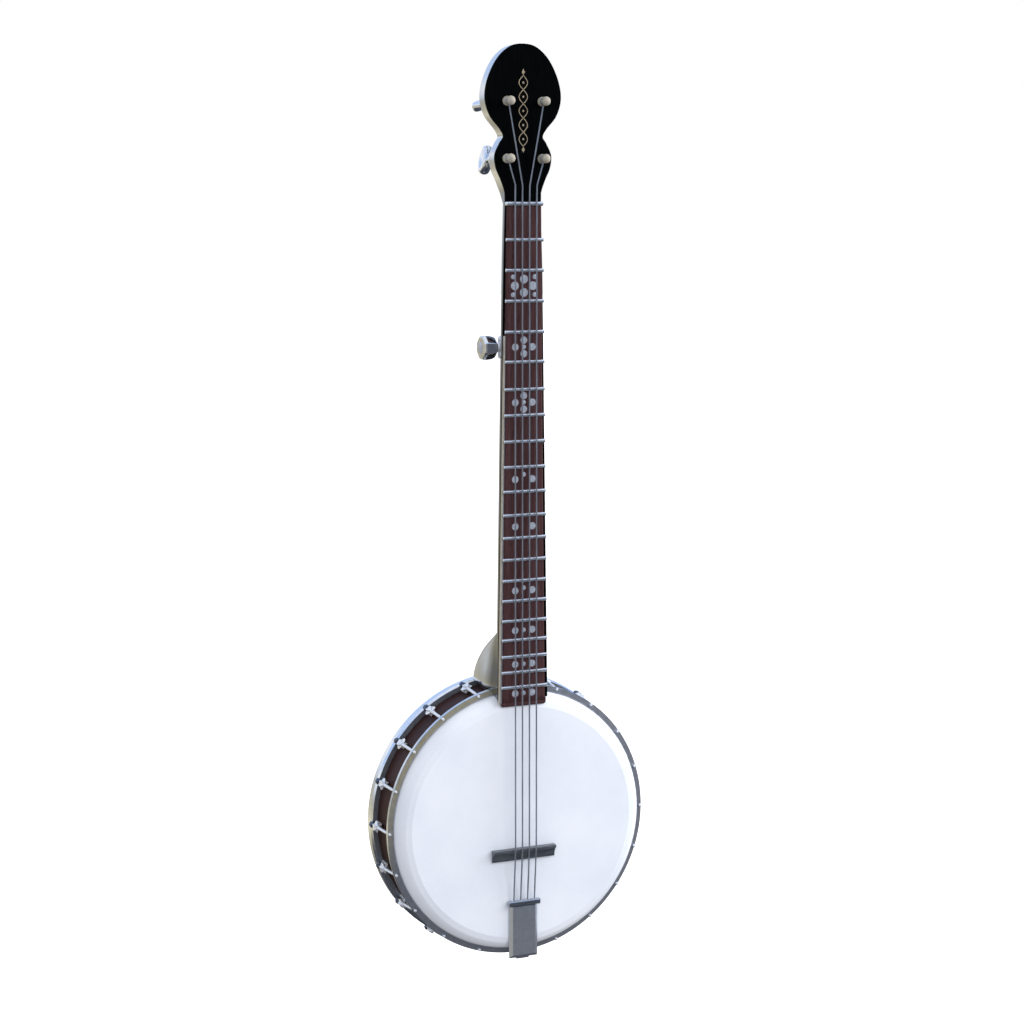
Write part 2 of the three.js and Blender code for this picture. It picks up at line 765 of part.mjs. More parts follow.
// A string from its winding on a post, over the nut and the bridge, to the tailpiece.
function string(place) {
  const x = (place - 1.5) * STRING_SPACING;
  const side = Math.sign(x);
  const z = Math.abs(x) > STRING_SPACING ? POST_Z.lower : POST_Z.upper;
  const lift = GAP + STRING_RADIUS;
  const windingR = POST_WAIST_R + lift;
  const winding = new THREE.TorusGeometry(windingR, STRING_RADIUS, 5, 10).rotateX(Math.PI / 2);
  const leave = new THREE.Vector3(side * POST_X, POST_WAIST_Y, z - windingR);
  const straight = wire([
    leave,
    new THREE.Vector3(x, POST_WAIST_Y + 0.9, 664),
    new THREE.Vector3(x, NUT_TOP_Y - lift, NUT_Z),
    new THREE.Vector3(x, BRIDGE_CREST_Y - lift, BRIDGE_Z),
    new THREE.Vector3(x, TAIL_FRONT_Y + 0.6, TAIL_TOP_Z + GAP),
  ]);
  return straight.add(solid(winding.translate(side * POST_X, POST_WAIST_Y, z)));
}

// ---- Assembly ----

const banjo = new THREE.Group();
banjo.add(
  piece('neck', neck(), MATERIALS.lacquer),
  piece('peghead_veneer', veneer(), MATERIALS.veneer),
  piece('fingerboard', fingerboard(), MATERIALS.rosewood),
  piece('side_binding', sideBinding(), MATERIALS.ivory),
  piece('nut', nut(), MATERIALS.chrome),
  piece('head', head(), MATERIALS.skin),
  piece('tone_ring', toneRing(), MATERIALS.chrome),
  piece('rim', rim(), MATERIALS.mahogany),
  piece('tension_hoop', tensionHoop(), MATERIALS.grey),
  piece('back_ring', backRing(), MATERIALS.chrome),
  piece('coordinator_rod', coordinatorRod(), MATERIALS.steel),
  piece('tail_nut', tailNut(), MATERIALS.chrome),
  piece('tail_hanger', tailHanger(), MATERIALS.grey),
  piece('tailpiece_plate', tailpiecePlate(), MATERIALS.grey),
  piece('tailpiece_bar', tailpieceBar(), MATERIALS.graphite),
  piece('bridge', bridge(), MATERIALS.graphite),
);

hookAngles().forEach((angle, i) => {
  const name = `tension_hook_${String(i + 1).padStart(2, '0')}`;
  banjo.add(piece(name, placedAround(tensionHook(), angle), MATERIALS.chrome));
});

for (let place = 0; place < 4; place++) {
  banjo.add(piece(`string_${place + 1}`, string(place), MATERIALS.steel));
}

pegs().forEach(({ x, z }, i) => {
  const peg = new THREE.Group();
  peg.position.set(x, 0, z);
  peg.add(
    piece(`tuner_post_${i + 1}`, tunerPost(), MATERIALS.ivory),
    piece(`tuner_housing_${i + 1}`, tunerHousing(), MATERIALS.chrome),
    piece(`tuner_button_${i + 1}`, tunerButton(REST_ANGLES[i]), MATERIALS.chrome),
  );
  banjo.add(peg);
});

banjo.add(
  piece('fifth_peg_plate', fifthPlate(), MATERIALS.chrome),
  piece('fifth_peg_post', atFifth(fifthPost(), FIFTH_SIDE), MATERIALS.chrome),
  piece('fifth_peg_button', atFifth(fifthButton(), FIFTH_SIDE - FIFTH_STAND - GAP), MATERIALS.chrome),
);
banjo.position.z = -WAIST_Z;

export default banjo;
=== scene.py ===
"""An open-back banjo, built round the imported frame.

Shapes are drawn in millimetres about the centre of the pot, level with the front of the tension hoop: +Z up
the neck, -Y the way the head faces. piece() turns them into metres in the frame.
"""
import math

import bmesh
import bpy
import numpy as np
from mathutils import Matrix, Vector


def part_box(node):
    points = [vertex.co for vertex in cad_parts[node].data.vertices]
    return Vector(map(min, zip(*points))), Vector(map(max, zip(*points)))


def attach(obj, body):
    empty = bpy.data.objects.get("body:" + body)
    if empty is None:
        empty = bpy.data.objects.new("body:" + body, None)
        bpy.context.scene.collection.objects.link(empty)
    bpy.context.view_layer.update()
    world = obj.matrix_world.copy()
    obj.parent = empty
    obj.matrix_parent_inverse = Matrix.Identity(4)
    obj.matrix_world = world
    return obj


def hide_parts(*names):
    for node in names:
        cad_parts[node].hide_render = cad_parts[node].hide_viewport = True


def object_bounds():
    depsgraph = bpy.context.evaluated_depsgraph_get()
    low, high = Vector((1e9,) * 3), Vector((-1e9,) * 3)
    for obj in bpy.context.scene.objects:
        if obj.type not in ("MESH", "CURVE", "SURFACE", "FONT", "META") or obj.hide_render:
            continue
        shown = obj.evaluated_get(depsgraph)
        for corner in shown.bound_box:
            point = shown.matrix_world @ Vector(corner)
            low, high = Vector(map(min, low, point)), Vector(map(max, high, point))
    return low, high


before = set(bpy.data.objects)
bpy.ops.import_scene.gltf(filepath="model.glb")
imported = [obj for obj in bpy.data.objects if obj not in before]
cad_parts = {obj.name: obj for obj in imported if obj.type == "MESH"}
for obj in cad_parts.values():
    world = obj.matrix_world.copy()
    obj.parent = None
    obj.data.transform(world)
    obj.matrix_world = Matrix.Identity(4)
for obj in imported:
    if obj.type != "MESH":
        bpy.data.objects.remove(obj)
cad_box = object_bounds()

MM = 0.001
ROOT = "banjo_body"
WELD = 1e-7  # metres
RIM_LOW, RIM_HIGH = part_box("rim")
POT = Vector((0, 0, (RIM_LOW.z + RIM_HIGH.z) / 2))


def span(node):
    """A CAD node's lowest and highest corners, in millimetres about the pot's centre."""
    return [np.array(corner - POT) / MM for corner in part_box(node)]


def middle(node):
    """The middle of a CAD node's box, in the same way."""
    return sum(span(node)) / 2


# ---- Places taken from the frame ----

RIM_OUTER = span("rim")[1][0]
RIM_FRONT = span("rim")[0][1]
POT_BACK = span("rim")[1][1]
HEAD_FRONT = span("head")[0][1]
HEAD_OUTER = span("head")[1][0]
HOOP_OUTER = span("tension_hoop")[1][0]
HOOP_BACK = span("tension_hoop")[1][1]
NUT_Z = middle("nut")[2]
NUT_FRONT = span("nut")[0][1]
VENEER_FRONT, VENEER_BACK = span("peghead_veneer")[0][1], span("peghead_veneer")[1][1]
NECK_END = span("neck")[0][2]
NECK_FRONT = span("neck")[0][1]
BOARD_END = span("fingerboard")[0][2]
BRIDGE_LOW, BRIDGE_HIGH = span("bridge")
PLATE_LOW, PLATE_HIGH = span("tailpiece_plate")
BAR_LOW, BAR_HIGH = span("tailpiece_bar")
ROD_Y = middle("tail_nut")[1]
ROD_LOW, ROD_HIGH = span("coordinator_rod")
FIFTH_SIDE = span("fifth_peg_plate")[1][0]
FIFTH_Y = middle("fifth_peg_plate")[1]
FIFTH_Z = middle("fifth_peg_button")[2]
KNOB_X = span("fifth_peg_button")[1][0]

# ---- Driving dimensions ----

RIM_INNER = 122
HOOP_INNER = 139.7
RING_OUTER = 148.5
RING_FRONT = 45
HEAD_DISC = 124.4
SKIN = 1
BOARD_TOP = -18
FRETS = 20
FRET_WIDTH = 3.7
FRET_HEIGHT = 1.7
STRING_RADIUS = 0.8
STRING_PLACES = [7.9 * (place - 1.5) for place in range(4)]
STRING_BEND_Z = 664
STRING_END_Y = BAR_LOW[1] + 2.4
HOOK_STEPS = 20
HOOK_TIP = (-1.5, 144.2)  # y and distance from the pot's axis, at the ball
HOOK_END = (44.4, 148.2)  # at the back of the nut
HOOK_NUT_LENGTH = 6.6
SHANK_RADIUS = 1.1
HOOP_FLANGE = 4.6
HOOP_SKIRT = 142.4
STAR_Y = 31
STAR_RADIUS = 6.3
STAR_DEPTH = 5.4
PEGHEAD_BACK = 5.6
POST_WAIST_Y = -22.3
BUTTON_Y = 39
REST_ANGLES = (-0.3, 0.5, 1.78, 0.9)


# ---- Shapes: each is a list of points and a list of faces ----


def rounded(outline, radius, steps=3):
    """A closed outline with each corner turned into a small curve."""
    points = [np.array(point, float) for point in outline]
    result = []
    for before, corner, after in zip(points[-1:] + points[:-1], points, points[1:] + points[:1]):
        back, on = before - corner, after - corner
        back_length, on_length = np.linalg.norm(back), np.linalg.norm(on)
        cut = min(radius, 0.45 * back_length, 0.45 * on_length)
        start = corner + back / back_length * cut
        end = corner + on / on_length * cut
        for t in np.linspace(0, 1, steps + 1):
            result.append((1 - t) ** 2 * start + 2 * t * (1 - t) * corner + t * t * end)
    return result


def rounded_on_axis(outline, radius, steps=3):
    """An outline that starts and ends on the axis, with its other corners rounded."""
    curve = rounded(outline, radius, steps)
    return [outline[0], *curve[steps + 1:-(steps + 1)], outline[-1]]


def turned(outline, segments=96):
    """An outline of (radius, y) points turned about the Y axis. It closes on itself or ends on the axis."""
    on_axis = outline[0][0] == 0 and outline[-1][0] == 0
    count = len(outline)
    points, faces = [], []
    for i in range(segments):
        angle = math.tau * i / segments
        points += [(r * math.sin(angle), y, r * math.cos(angle)) for r, y in outline]
    for i in range(segments):
        here, there = i * count, (i + 1) % segments * count
        for j in range(count - 1 if on_axis else count):
            k = (j + 1) % count
            faces.append((here + j, here + k, there + k, there + j))
    return points, faces


def lofted(rings):
    """A body through rings of equally many points, closed at both ends."""
    size = len(rings[0])
    points = [tuple(point) for ring in rings for point in ring]
    faces = [tuple(range(size)), tuple(range(len(points) - size, len(points)))]
    for start in range(0, len(points) - size, size):
        for i in range(size):
            j = (i + 1) % size
            faces.append((start + i, start + j, start + size + j, start + size + i))
    return points, faces


def slab(outline, front, back):
    """An outline of (x, z) points made solid between two y values."""
    return lofted([[(x, y, z) for x, z in outline] for y in (front, back)])


def beam(section, left, right):
    """A section of (y, z) points made solid between two x values."""
    return lofted([[(x, y, z) for y, z in section] for x in (left, right)])


def tube(path, radius, sides=12):
    """A round wire along a path."""
    path = [Vector(point) for point in path]
    rings = []
    across = (path[1] - path[0]).orthogonal()
    for i, point in enumerate(path):
        along = (path[min(i + 1, len(path) - 1)] - path[max(i - 1, 0)]).normalized()
        across = (across - along * across.dot(along)).normalized()
        other = along.cross(across)
        turns = [math.tau * k / sides for k in range(sides)]
        rings.append([point + radius * (math.cos(t) * across + math.sin(t) * other) for t in turns])
    return lofted(rings)


def joined(*shapes):
    """Several shapes as one."""
    points, faces = [], []
    for more, corners in shapes:
        faces += [tuple(len(points) + i for i in face) for face in corners]
        points += [tuple(point) for point in more]
    return points, faces


def moved(shape, matrix):
    return [matrix @ Vector(point) for point in shape[0]], shape[1]


def shifted(shape, x=0, y=0, z=0):
    return moved(shape, Matrix.Translation((x, y, z)))


def around(shape, angle):
    """A shape drawn at twelve o'clock, moved round the pot."""
    return moved(shape, Matrix.Rotation(angle, 4, "Y"))


def upright(shape, x=0, y=0, z=0):
    """A shape drawn about the Y axis, stood up along Z at a place."""
    return moved(shape, Matrix.Translation((x, y, z)) @ Matrix.Rotation(math.pi / 2, 4, "X"))


def smooth_line(points, steps):
    """A Catmull-Rom curve through points, whose first and last are only its end directions."""
    points = [np.array(point, float) for point in points]
    result = []
    for a, b, c, d in zip(points, points[1:], points[2:], points[3:]):
        for t in np.arange(steps) / steps:
            bend = (3 * b - a - 3 * c + d) * t ** 3 + (2 * a - 5 * b + 4 * c - d) * t ** 2
            result.append((bend + (c - a) * t) / 2 + b)
    return np.array([*result, points[-2]])


def in_scene(name, data):
    made = bpy.data.objects.new(name, data)
    bpy.context.scene.collection.objects.link(made)
    return made


def link(name, shape, material):
    """A mesh object of a shape, in metres in the frame, with its points welded and its faces outwards."""
    mesh = bpy.data.meshes.new(name)
    mesh.from_pydata([Vector(point) * MM + POT for point in shape[0]], [], shape[1])
    work = bmesh.new()
    work.from_mesh(mesh)
    bmesh.ops.remove_doubles(work, verts=work.verts, dist=WELD)
    bmesh.ops.recalc_face_normals(work, faces=work.faces)
    work.to_mesh(mesh)
    work.free()
    mesh.materials.append(material)
    return in_scene(name, mesh)


def carve(made, *cutters):
    """Cuts shapes out of an object."""
    tools = [link("cutter", shape, made.data.materials[0]) for shape in cutters]
    for tool in tools:
        cut = made.modifiers.new("cut", "BOOLEAN")
        cut.object = tool
        cut.solver = "EXACT"
    ready = made.evaluated_get(bpy.context.evaluated_depsgraph_get())
    mesh = bpy.data.meshes.new_from_object(ready)
    made.modifiers.clear()
    made.data = mesh
    for tool in tools:
        bpy.data.objects.remove(tool)


def piece(name, shape, material, stands_for=(), body=ROOT, bevel=0, sharp=38, cut=()):
    """A finished piece of the banjo. bevel rounds its edges, in millimetres."""
    paint, slot = material
    made = link(name, shape, paint)
    if cut:
        carve(made, *cut)
    made.data.shade_smooth()
    if bevel:
        edges = made.modifiers.new("edges", "BEVEL")
        edges.width = bevel * MM
        edges.segments = 3
        edges.angle_limit = math.radians(sharp)
    else:
        made.data.set_sharp_from_angle(angle=math.radians(sharp))
    shading = made.modifiers.new("shading", "WEIGHTED_NORMAL")
    shading.keep_sharp = True
    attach(made, body)
    if stands_for:
        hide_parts(*([stands_for] if isinstance(stands_for, str) else stands_for))
    return made


# ---- Materials ----


def srgb(*screen):
    """A colour given in the 0 to 255 of a screen, as a shader takes it."""
    linear = [((c / 255 + 0.055) / 1.055) ** 2.4 if c > 10 else c / 255 / 12.92 for c in screen]
    return (*linear, 1)


def add(tree, kind, inputs=None, **settings):
    """A shader node. inputs are its sockets' values, or the sockets that feed them."""
    node = tree.nodes.new("ShaderNode" + kind)
    for key, value in settings.items():
        setattr(node, key, value)
    for socket, value in (inputs or {}).items():
        if isinstance(value, bpy.types.NodeSocket):
            tree.links.new(value, node.inputs[socket])
        else:
            node.inputs[socket].default_value = value
    return node


def new_material(name, **sockets):
    """A material and its tree, whose shader's own sockets hold what is the same all over."""
    material = bpy.data.materials.new(name)
    material.use_nodes = True
    tree = material.node_tree
    for socket, value in sockets.items():
        tree.nodes["Principled BSDF"].inputs[socket.replace("_", " ")].default_value = value
    return material, tree


def feed(tree, socket, output):
    tree.links.new(output, tree.nodes["Principled BSDF"].inputs[socket])


def where(tree, scale=(1, 1, 1)):
    """The place on the banjo, in metres, stretched."""
    place = add(tree, "TexCoord").outputs["Object"]
    return add(tree, "Mapping", {"Vector": place, "Scale": scale}).outputs["Vector"]


def round_pot(tree, scale=(1, 1, 1)):
    """The place as (length round the pot, y, radius), in metres, stretched."""
    place = add(tree, "TexCoord").outputs["Object"]
    centred = add(tree, "VectorMath", {0: place, 1: -POT}, operation="ADD").outputs["Vector"]
    parts = add(tree, "SeparateXYZ", {0: centred}).outputs
    angle = add(tree, "Math", {0: parts["X"], 1: parts["Z"]}, operation="ARCTAN2").outputs[0]
    length = add(tree, "Math", {0: angle, 1: RIM_OUTER * MM}, operation="MULTIPLY").outputs[0]
    flat = add(tree, "CombineXYZ", {"X": parts["X"], "Z": parts["Z"]}).outputs[0]
    radius = add(tree, "VectorMath", {0: flat}, operation="LENGTH").outputs["Value"]
    made = add(tree, "CombineXYZ", {"X": length, "Y": parts["Y"], "Z": radius}).outputs[0]
    return add(tree, "Mapping", {"Vector": made, "Scale": scale}).outputs["Vector"]


def noise(tree, vector, scale, detail=4, distortion=0):
    inputs = {"Vector": vector, "Scale": scale, "Detail": detail, "Distortion": distortion}
    return add(tree, "TexNoise", inputs).outputs["Fac"]


def shades(tree, factor, *stops):
    """Colours along a factor, as (place, colour) stops."""
    ramp = add(tree, "ValToRGB", {"Fac": factor})
    ramp.color_ramp.elements[0].position, ramp.color_ramp.elements[0].color = stops[0]
    ramp.color_ramp.elements[1].position, ramp.color_ramp.elements[1].color = stops[-1]
    for place, colour in stops[1:-1]:
        ramp.color_ramp.elements.new(place).color = colour
    return ramp.outputs["Color"]


def tones(tree, factor, *stops):
    """Colours along a factor, given in the 0 to 255 of a screen."""
    return shades(tree, factor, *[(place, srgb(*colour)) for place, colour in stops])


def between(tree, factor, low, high):
    """A noise's middle range, spread from low to high."""
    inputs = {"Value": factor, "From Min": 0.3, "From Max": 0.7, "To Min": low, "To Max": high}
    return add(tree, "MapRange", inputs).outputs["Result"]


def spread(tree, value, low, high):
    """0 at low, 1 at high, and steady between."""
    return add(tree, "MapRange", {"Value": value, "From Min": low, "From Max": high}).outputs["Result"]


def blend(tree, factor, first, second, kind="MIX"):
    """Two colours as one: the first at a factor of 0, and the second mixed in up to a factor of 1."""
    inputs = {0: factor, 6: first, 7: second}
    return add(tree, "Mix", inputs, data_type="RGBA", blend_type=kind).outputs[2]


def relief(tree, height, depth_mm, strength=1):
    """Bumps from a height of 0 to 1."""
    inputs = {"Height": height, "Distance": depth_mm * MM, "Strength": strength}
    feed(tree, "Normal", add(tree, "Bump", inputs).outputs["Normal"])


def follow(tree, pattern, low, high, roughness):
    """Colour and roughness that both follow a pattern."""
    feed(tree, "Base Color", tones(tree, pattern, (0.3, low), (0.7, high)))
    feed(tree, "Roughness", between(tree, pattern, *roughness))


def silver_lacquer():
    """Silver lacquer, with painted shade that darkens it in the corner beside the fingerboard, below the nut.
    """
    material, tree = new_material("silver_lacquer", Metallic=1, Coat_Weight=0.5, Coat_Roughness=0.06)
    cloud = noise(tree, where(tree), 22)
    silver = tones(tree, cloud, (0.35, (204, 206, 210)), (0.65, (224, 226, 229)))
    # The darker colour is painted shade, laid into the lacquer near the front of the neck below the nut.
    painted_shade = tones(tree, cloud, (0.35, (112, 114, 117)), (0.65, (126, 128, 130)))
    place = add(tree, "SeparateXYZ", {0: where(tree)}).outputs
    away = spread(tree, place["Y"], -0.002, 0.011)
    above = spread(tree, place["Z"], NUT_Z * MM + POT.z, (NUT_Z + 25) * MM + POT.z)
    clear = add(tree, "Math", {0: away, 1: above}, operation="MAXIMUM").outputs[0]
    feed(tree, "Base Color", blend(tree, clear, painted_shade, silver))
    feed(tree, "Roughness", between(tree, noise(tree, where(tree), 70), 0.13, 0.21))
    relief(tree, noise(tree, where(tree), 900, 2), 0.01, 0.5)
    return material, "silver_lacquer"


def black_veneer():
    material, tree = new_material("black_veneer", Specular_IOR_Level=0.04)
    grain = noise(tree, where(tree, (1, 1, 0.08)), 700)
    follow(tree, grain, (3, 4, 5), (7, 8, 9), (0.1, 0.16))
    relief(tree, grain, 0.005, 0.1)
    return material, "black_veneer"


def wood(name, vector, colours, roughness, slot):
    """A close-grained wood. The vector runs along the grain slowly and across it fast."""
    material, tree = new_material(name, Specular_IOR_Level=0.1)
    place = vector(tree)
    grain = noise(tree, place, 420, 6, 0.6)
    pores = noise(tree, place, 1900, 3)
    figure = tones(tree, grain, *zip((0.32, 0.5, 0.68), colours))
    dark = shades(tree, pores, (0.34, (0.55, 0.52, 0.52, 1)), (0.46, (1, 1, 1, 1)))
    feed(tree, "Base Color", blend(tree, 1, figure, dark, "MULTIPLY"))
    feed(tree, "Roughness", between(tree, grain, *roughness))
    relief(tree, pores, 0.06, 0.6)
    return material, slot


def rosewood():
    colours = (66, 44, 46), (73, 50, 52), (80, 56, 58)
    return wood("rosewood", lambda tree: where(tree, (1, 1, 0.05)), colours, (0.42, 0.56), "rosewood")


def mahogany():
    colours = (44, 25, 23), (56, 34, 32), (68, 43, 40)
    roughness = 0.34, 0.46
    return wood("mahogany", lambda tree: round_pot(tree, (0.05, 1, 1)), colours, roughness, "dark_mahogany")


def ebony():
    material, tree = new_material("ebony", Coat_Weight=0.4, Coat_Roughness=0.15)
    grain = noise(tree, where(tree, (0.06, 1, 1)), 900, 5)
    follow(tree, grain, (52, 57, 63), (84, 90, 98), (0.22, 0.38))
    relief(tree, grain, 0.04, 0.6)
    return material, "ebony"


def ivory():
    material, tree = new_material("ivory_plastic", Subsurface_Weight=0.08, Subsurface_Scale=0.002)
    cloud = noise(tree, where(tree), 260, 3, 1.5)
    feed(tree, "Base Color", tones(tree, cloud, (0.3, (156, 151, 139)), (0.7, (180, 175, 163))))
    feed(tree, "Roughness", between(tree, noise(tree, where(tree), 500), 0.28, 0.42))
    relief(tree, noise(tree, where(tree), 1400, 2), 0.01, 0.4)
    return material, "ivory_plastic"


def pearl():
    material, tree = new_material("pearl", Metallic=0.15, Coat_Weight=0.5, Coat_Roughness=0.08)
    flow = noise(tree, where(tree, (1, 1, 0.5)), 380, 4, 2.5)
    colours = (0.3, (158, 168, 184)), (0.5, (173, 181, 196)), (0.7, (188, 196, 210))
    feed(tree, "Base Color", tones(tree, flow, *colours))
    feed(tree, "Roughness", between(tree, flow, 0.2, 0.34))
    relief(tree, flow, 0.01, 0.3)
    return material, "ivory_plastic"


def gilt():
    material, tree = new_material("gilt_inlay", Metallic=0.45)
    cloud = noise(tree, where(tree), 700, 3)
    follow(tree, cloud, (160, 146, 122), (196, 182, 156), (0.3, 0.45))
    relief(tree, cloud, 0.01, 0.3)
    return material, "ivory_plastic"


def metal(name, slot, low, high, roughness, stretch=(1, 1, 1), scale=300, depth=0.01, metallic=1):
    """A plated or drawn metal, with faint wear that runs the way it was polished."""
    material, tree = new_material(name, Metallic=metallic)
    wear = noise(tree, where(tree, stretch), scale, 5)
    follow(tree, wear, low, high, roughness)
    relief(tree, noise(tree, where(tree, stretch), scale * 4, 2), depth, 0.5)
    return material, slot


def satin_grey():
    """Satin grey plate, with painted light that turns it a cream tone on the upper left."""
    material, tree = new_material("satin_grey", Metallic=0.7)
    wear = noise(tree, where(tree), 160, 5)
    grey = tones(tree, wear, (0.3, (156, 160, 171)), (0.7, (170, 174, 184)))
    # The cream colour is painted light, blended in towards the upper left of the hoop's face.
    cream = tones(tree, wear, (0.3, (204, 196, 168)), (0.7, (216, 209, 184)))
    inputs = {0: where(tree), 1: (-0.7, 0, 0.7)}
    upper_left = add(tree, "VectorMath", inputs, operation="DOT_PRODUCT").outputs["Value"]
    painted_light = spread(tree, upper_left, 0.065 + 0.7 * POT.z, 0.135 + 0.7 * POT.z)
    feed(tree, "Base Color", blend(tree, painted_light, grey, cream))
    feed(tree, "Roughness", between(tree, wear, 0.3, 0.38))
    relief(tree, noise(tree, where(tree), 640, 2), 0.004, 0.3)
    return material, "grey_metal"


def wound_steel():
    """A string's wire, wound with a finer one."""
    material, tree = new_material("wound_steel", Metallic=0.85)
    wear = noise(tree, where(tree, (1, 1, 0.1)), 500)
    follow(tree, wear, (150, 156, 167), (176, 182, 192), (0.3, 0.42))
    up = add(tree, "SeparateXYZ", {0: where(tree)}).outputs["Z"]
    winding = add(tree, "Math", {0: up, 1: math.tau / (0.5 * MM)}, operation="MULTIPLY").outputs[0]
    relief(tree, add(tree, "Math", {0: winding}, operation="SINE").outputs[0], 0.05, 0.5)
    return material, "steel"


def frosted_skin():
    material, tree = new_material("frosted_skin", Specular_IOR_Level=0.3)
    fine = noise(tree, where(tree), 1500, 3)
    cloud = noise(tree, where(tree), 16, 3)
    both = add(tree, "Math", {0: fine, 1: cloud}, operation="ADD").outputs[0]
    half = add(tree, "Math", {0: both, 1: 0.5}, operation="MULTIPLY").outputs[0]
    feed(tree, "Base Color", tones(tree, half, (0.4, (224, 230, 241)), (0.6, (234, 239, 248))))
    feed(tree, "Roughness", between(tree, fine, 0.5, 0.62))
    relief(tree, fine, 0.03, 0.5)
    return material, "head_skin"


SILVER, VENEER, ROSEWOOD, MAHOGANY = silver_lacquer(), black_veneer(), rosewood(), mahogany()
EBONY, IVORY, PEARL, GILT = ebony(), ivory(), pearl(), gilt()
SATIN, WIRE, SKIN_FILM = satin_grey(), wound_steel(), frosted_skin()

# The plain metals: name, slot, darkest and lightest colour, and roughness
CHROME = metal("chrome", "chrome", (226, 230, 236), (243, 245, 249), (0.07, 0.16))
CAST = metal("cast_chrome", "chrome", (232, 239, 249), (245, 248, 252), (0.14, 0.22), metallic=0.45)
CREAM = metal("cream_satin", "chrome", (196, 190, 168), (212, 206, 186), (0.24, 0.34), metallic=0.35)
DARK_NUT = metal("dark_nut", "chrome", (70, 78, 96), (100, 110, 130), (0.16, 0.28), scale=500)
HOOP = metal("hoop_metal", "grey_metal", (204, 210, 218), (224, 229, 236), (0.12, 0.2), scale=160)
GRAPHITE = metal("graphite", "graphite", (178, 185, 195), (198, 205, 214), (0.2, 0.32), (0.1, 1, 1), 500)
ROD = metal("rod_steel", "steel", (150, 155, 163), (178, 183, 190), (0.2, 0.32), (1, 1, 0.05), 700)
NICKEL = metal(
    "nickel", "chrome", (226, 232, 242), (240, 244, 250), (0.12, 0.2), (0.1, 1, 1), 800, metallic=0.85
)
# The back ring's front face: a dull dark grey that is painted shade, in place of the chrome's dark
# reflections.
RING_FACE = metal(
    "ring_face", "chrome", (124, 128, 135), (138, 142, 149), (0.3, 0.4), scale=160, metallic=0.5
)
PLATE = metal(
    "plate_metal", "grey_metal", (190, 196, 208), (202, 208, 219), (0.28, 0.34), scale=260, depth=0.0006,
    metallic=0.82,
)


# ---- Neck ----


def neck_half(z):
    """Half the neck's width, which grows towards the pot, fastest just below the nut."""
    taper = np.interp(z, (150, NUT_Z), (27, 19.6)) if z > 150 else 27 + (150 - z) * 0.0149
    return taper + 0.9 * ease(NUT_Z + 5, 560, z)


def board_half(z):
    return 18.6 + (NUT_Z - z) * 5.9 / (NUT_Z - 136)


def fret_z(n):
    """A fret's place. The spacing isn't quite even, so each fret drifts by up to 2 mm."""
    drift = np.interp(n, (1, 2.5, 5.3, 7.2, 10, 15, 17, 20), (-0.5, 1.4, -1.4, 0.8, 0.2, -0.2, -2.2, 0.6))
    return NUT_Z - 2.77 - 33.3 * n + 0.4253 * n * n + drift


# The peghead's right edge as (half width, z) points, from the neck up to the tip
EDGE = smooth_line(
    [
        (19.9, 644), (19.9, 656), (24, 668.5), (29.6, 681), (31, 694), (25.6, 706), (21.7, 712.5),
        (25.6, 720), (36.4, 733), (41.6, 750), (38.6, 769), (28.5, 789), (14.5, 801.5), (0, 804.5),
        (-14.5, 801.5),
    ],
    10,
)


def neck_ring(z, half, depth, power, swell=1, steps=36):
    """One ring of the neck: flat in front and round behind, with power making it squarer."""
    ring = []
    for turn in np.linspace(0, math.pi, steps + 1):
        across = math.copysign(abs(math.cos(turn)) ** (2 / power), math.cos(turn))
        y = NECK_FRONT + depth * max(math.sin(turn), 0) ** (2 / power)
        wider = 1 + (swell - 1) * ease(-4, 10, y)
        ring.append((half * across * wider, y, z))
    return ring


def ease(low, high, value):
    """0 at low and before it, 1 at high and past it, and smooth between."""
    t = min(max((value - low) / (high - low), 0), 1)
    return t * t * (3 - 2 * t)


def neck_shape():
    heel_top, depth, peghead_depth = 204, 20, PEGHEAD_BACK - NECK_FRONT
    rings = []
    for z in np.linspace(NECK_END, heel_top, 56):
        rise = max(0, (z - 140) / (heel_top - 140))
        power = 4 - 1.9 * rise
        half, reach = neck_half(z) - 0.4 * (1 - rise), depth + 58 * (1 - rise ** 2.8)
        rings.append(neck_ring(z, half, reach, power, foot_swell(z)))
    for z in np.linspace(heel_top, NUT_Z, 9)[1:]:
        rings.append(neck_ring(z, neck_half(z), depth, 2.1))
    for half, z in EDGE[EDGE[:, 0] > 1.2]:
        flat = ease(NUT_Z, 676, z)
        rings.append(neck_ring(z, half, depth + (peghead_depth - depth) * flat, 2.1 + 9.5 * flat))
    return lofted(rings)


def foot_swell(z):
    """The heel's foot swells towards the rim and rounds in again where it meets it."""
    wider = 0.26 * (1 - ease(145, 196, z))
    rounding = max(0, (149 - z) / (149 - NECK_END)) ** 2
    return 1 + wider - 0.36 * rounding


def pot_clearance():
    """The space that the head, the hoop and the rim take up beneath the neck."""
    room, far = 0.4, 120
    return turned(
        [
            (0, HEAD_FRONT - room),
            *[(r, y) for r, y in crown(-room) if y < -room],
            (HOOP_INNER - room, -room),
            (HOOP_OUTER + room, -room),
            (HOOP_OUTER + room, HOOP_BACK + room),
            (RIM_OUTER + room, HOOP_BACK + room),
            (RIM_OUTER + room, RING_FRONT - room),
            (RING_OUTER + room, RING_FRONT - room),
            (RING_OUTER + room, far),
            (0, far),
        ],
        256,
    )


def crown(inset):
    """The head's round edge as (radius, y) points. It leaves the disc at a slight angle."""
    radius = HEAD_OUTER - HEAD_DISC
    points = [(HEAD_DISC, HEAD_FRONT + inset)]
    for turn in np.linspace(0.42, math.pi / 2, 14):
        reach = radius - inset
        points.append((HEAD_DISC + reach * math.sin(turn), HEAD_FRONT + radius - reach * math.cos(turn)))
    return points


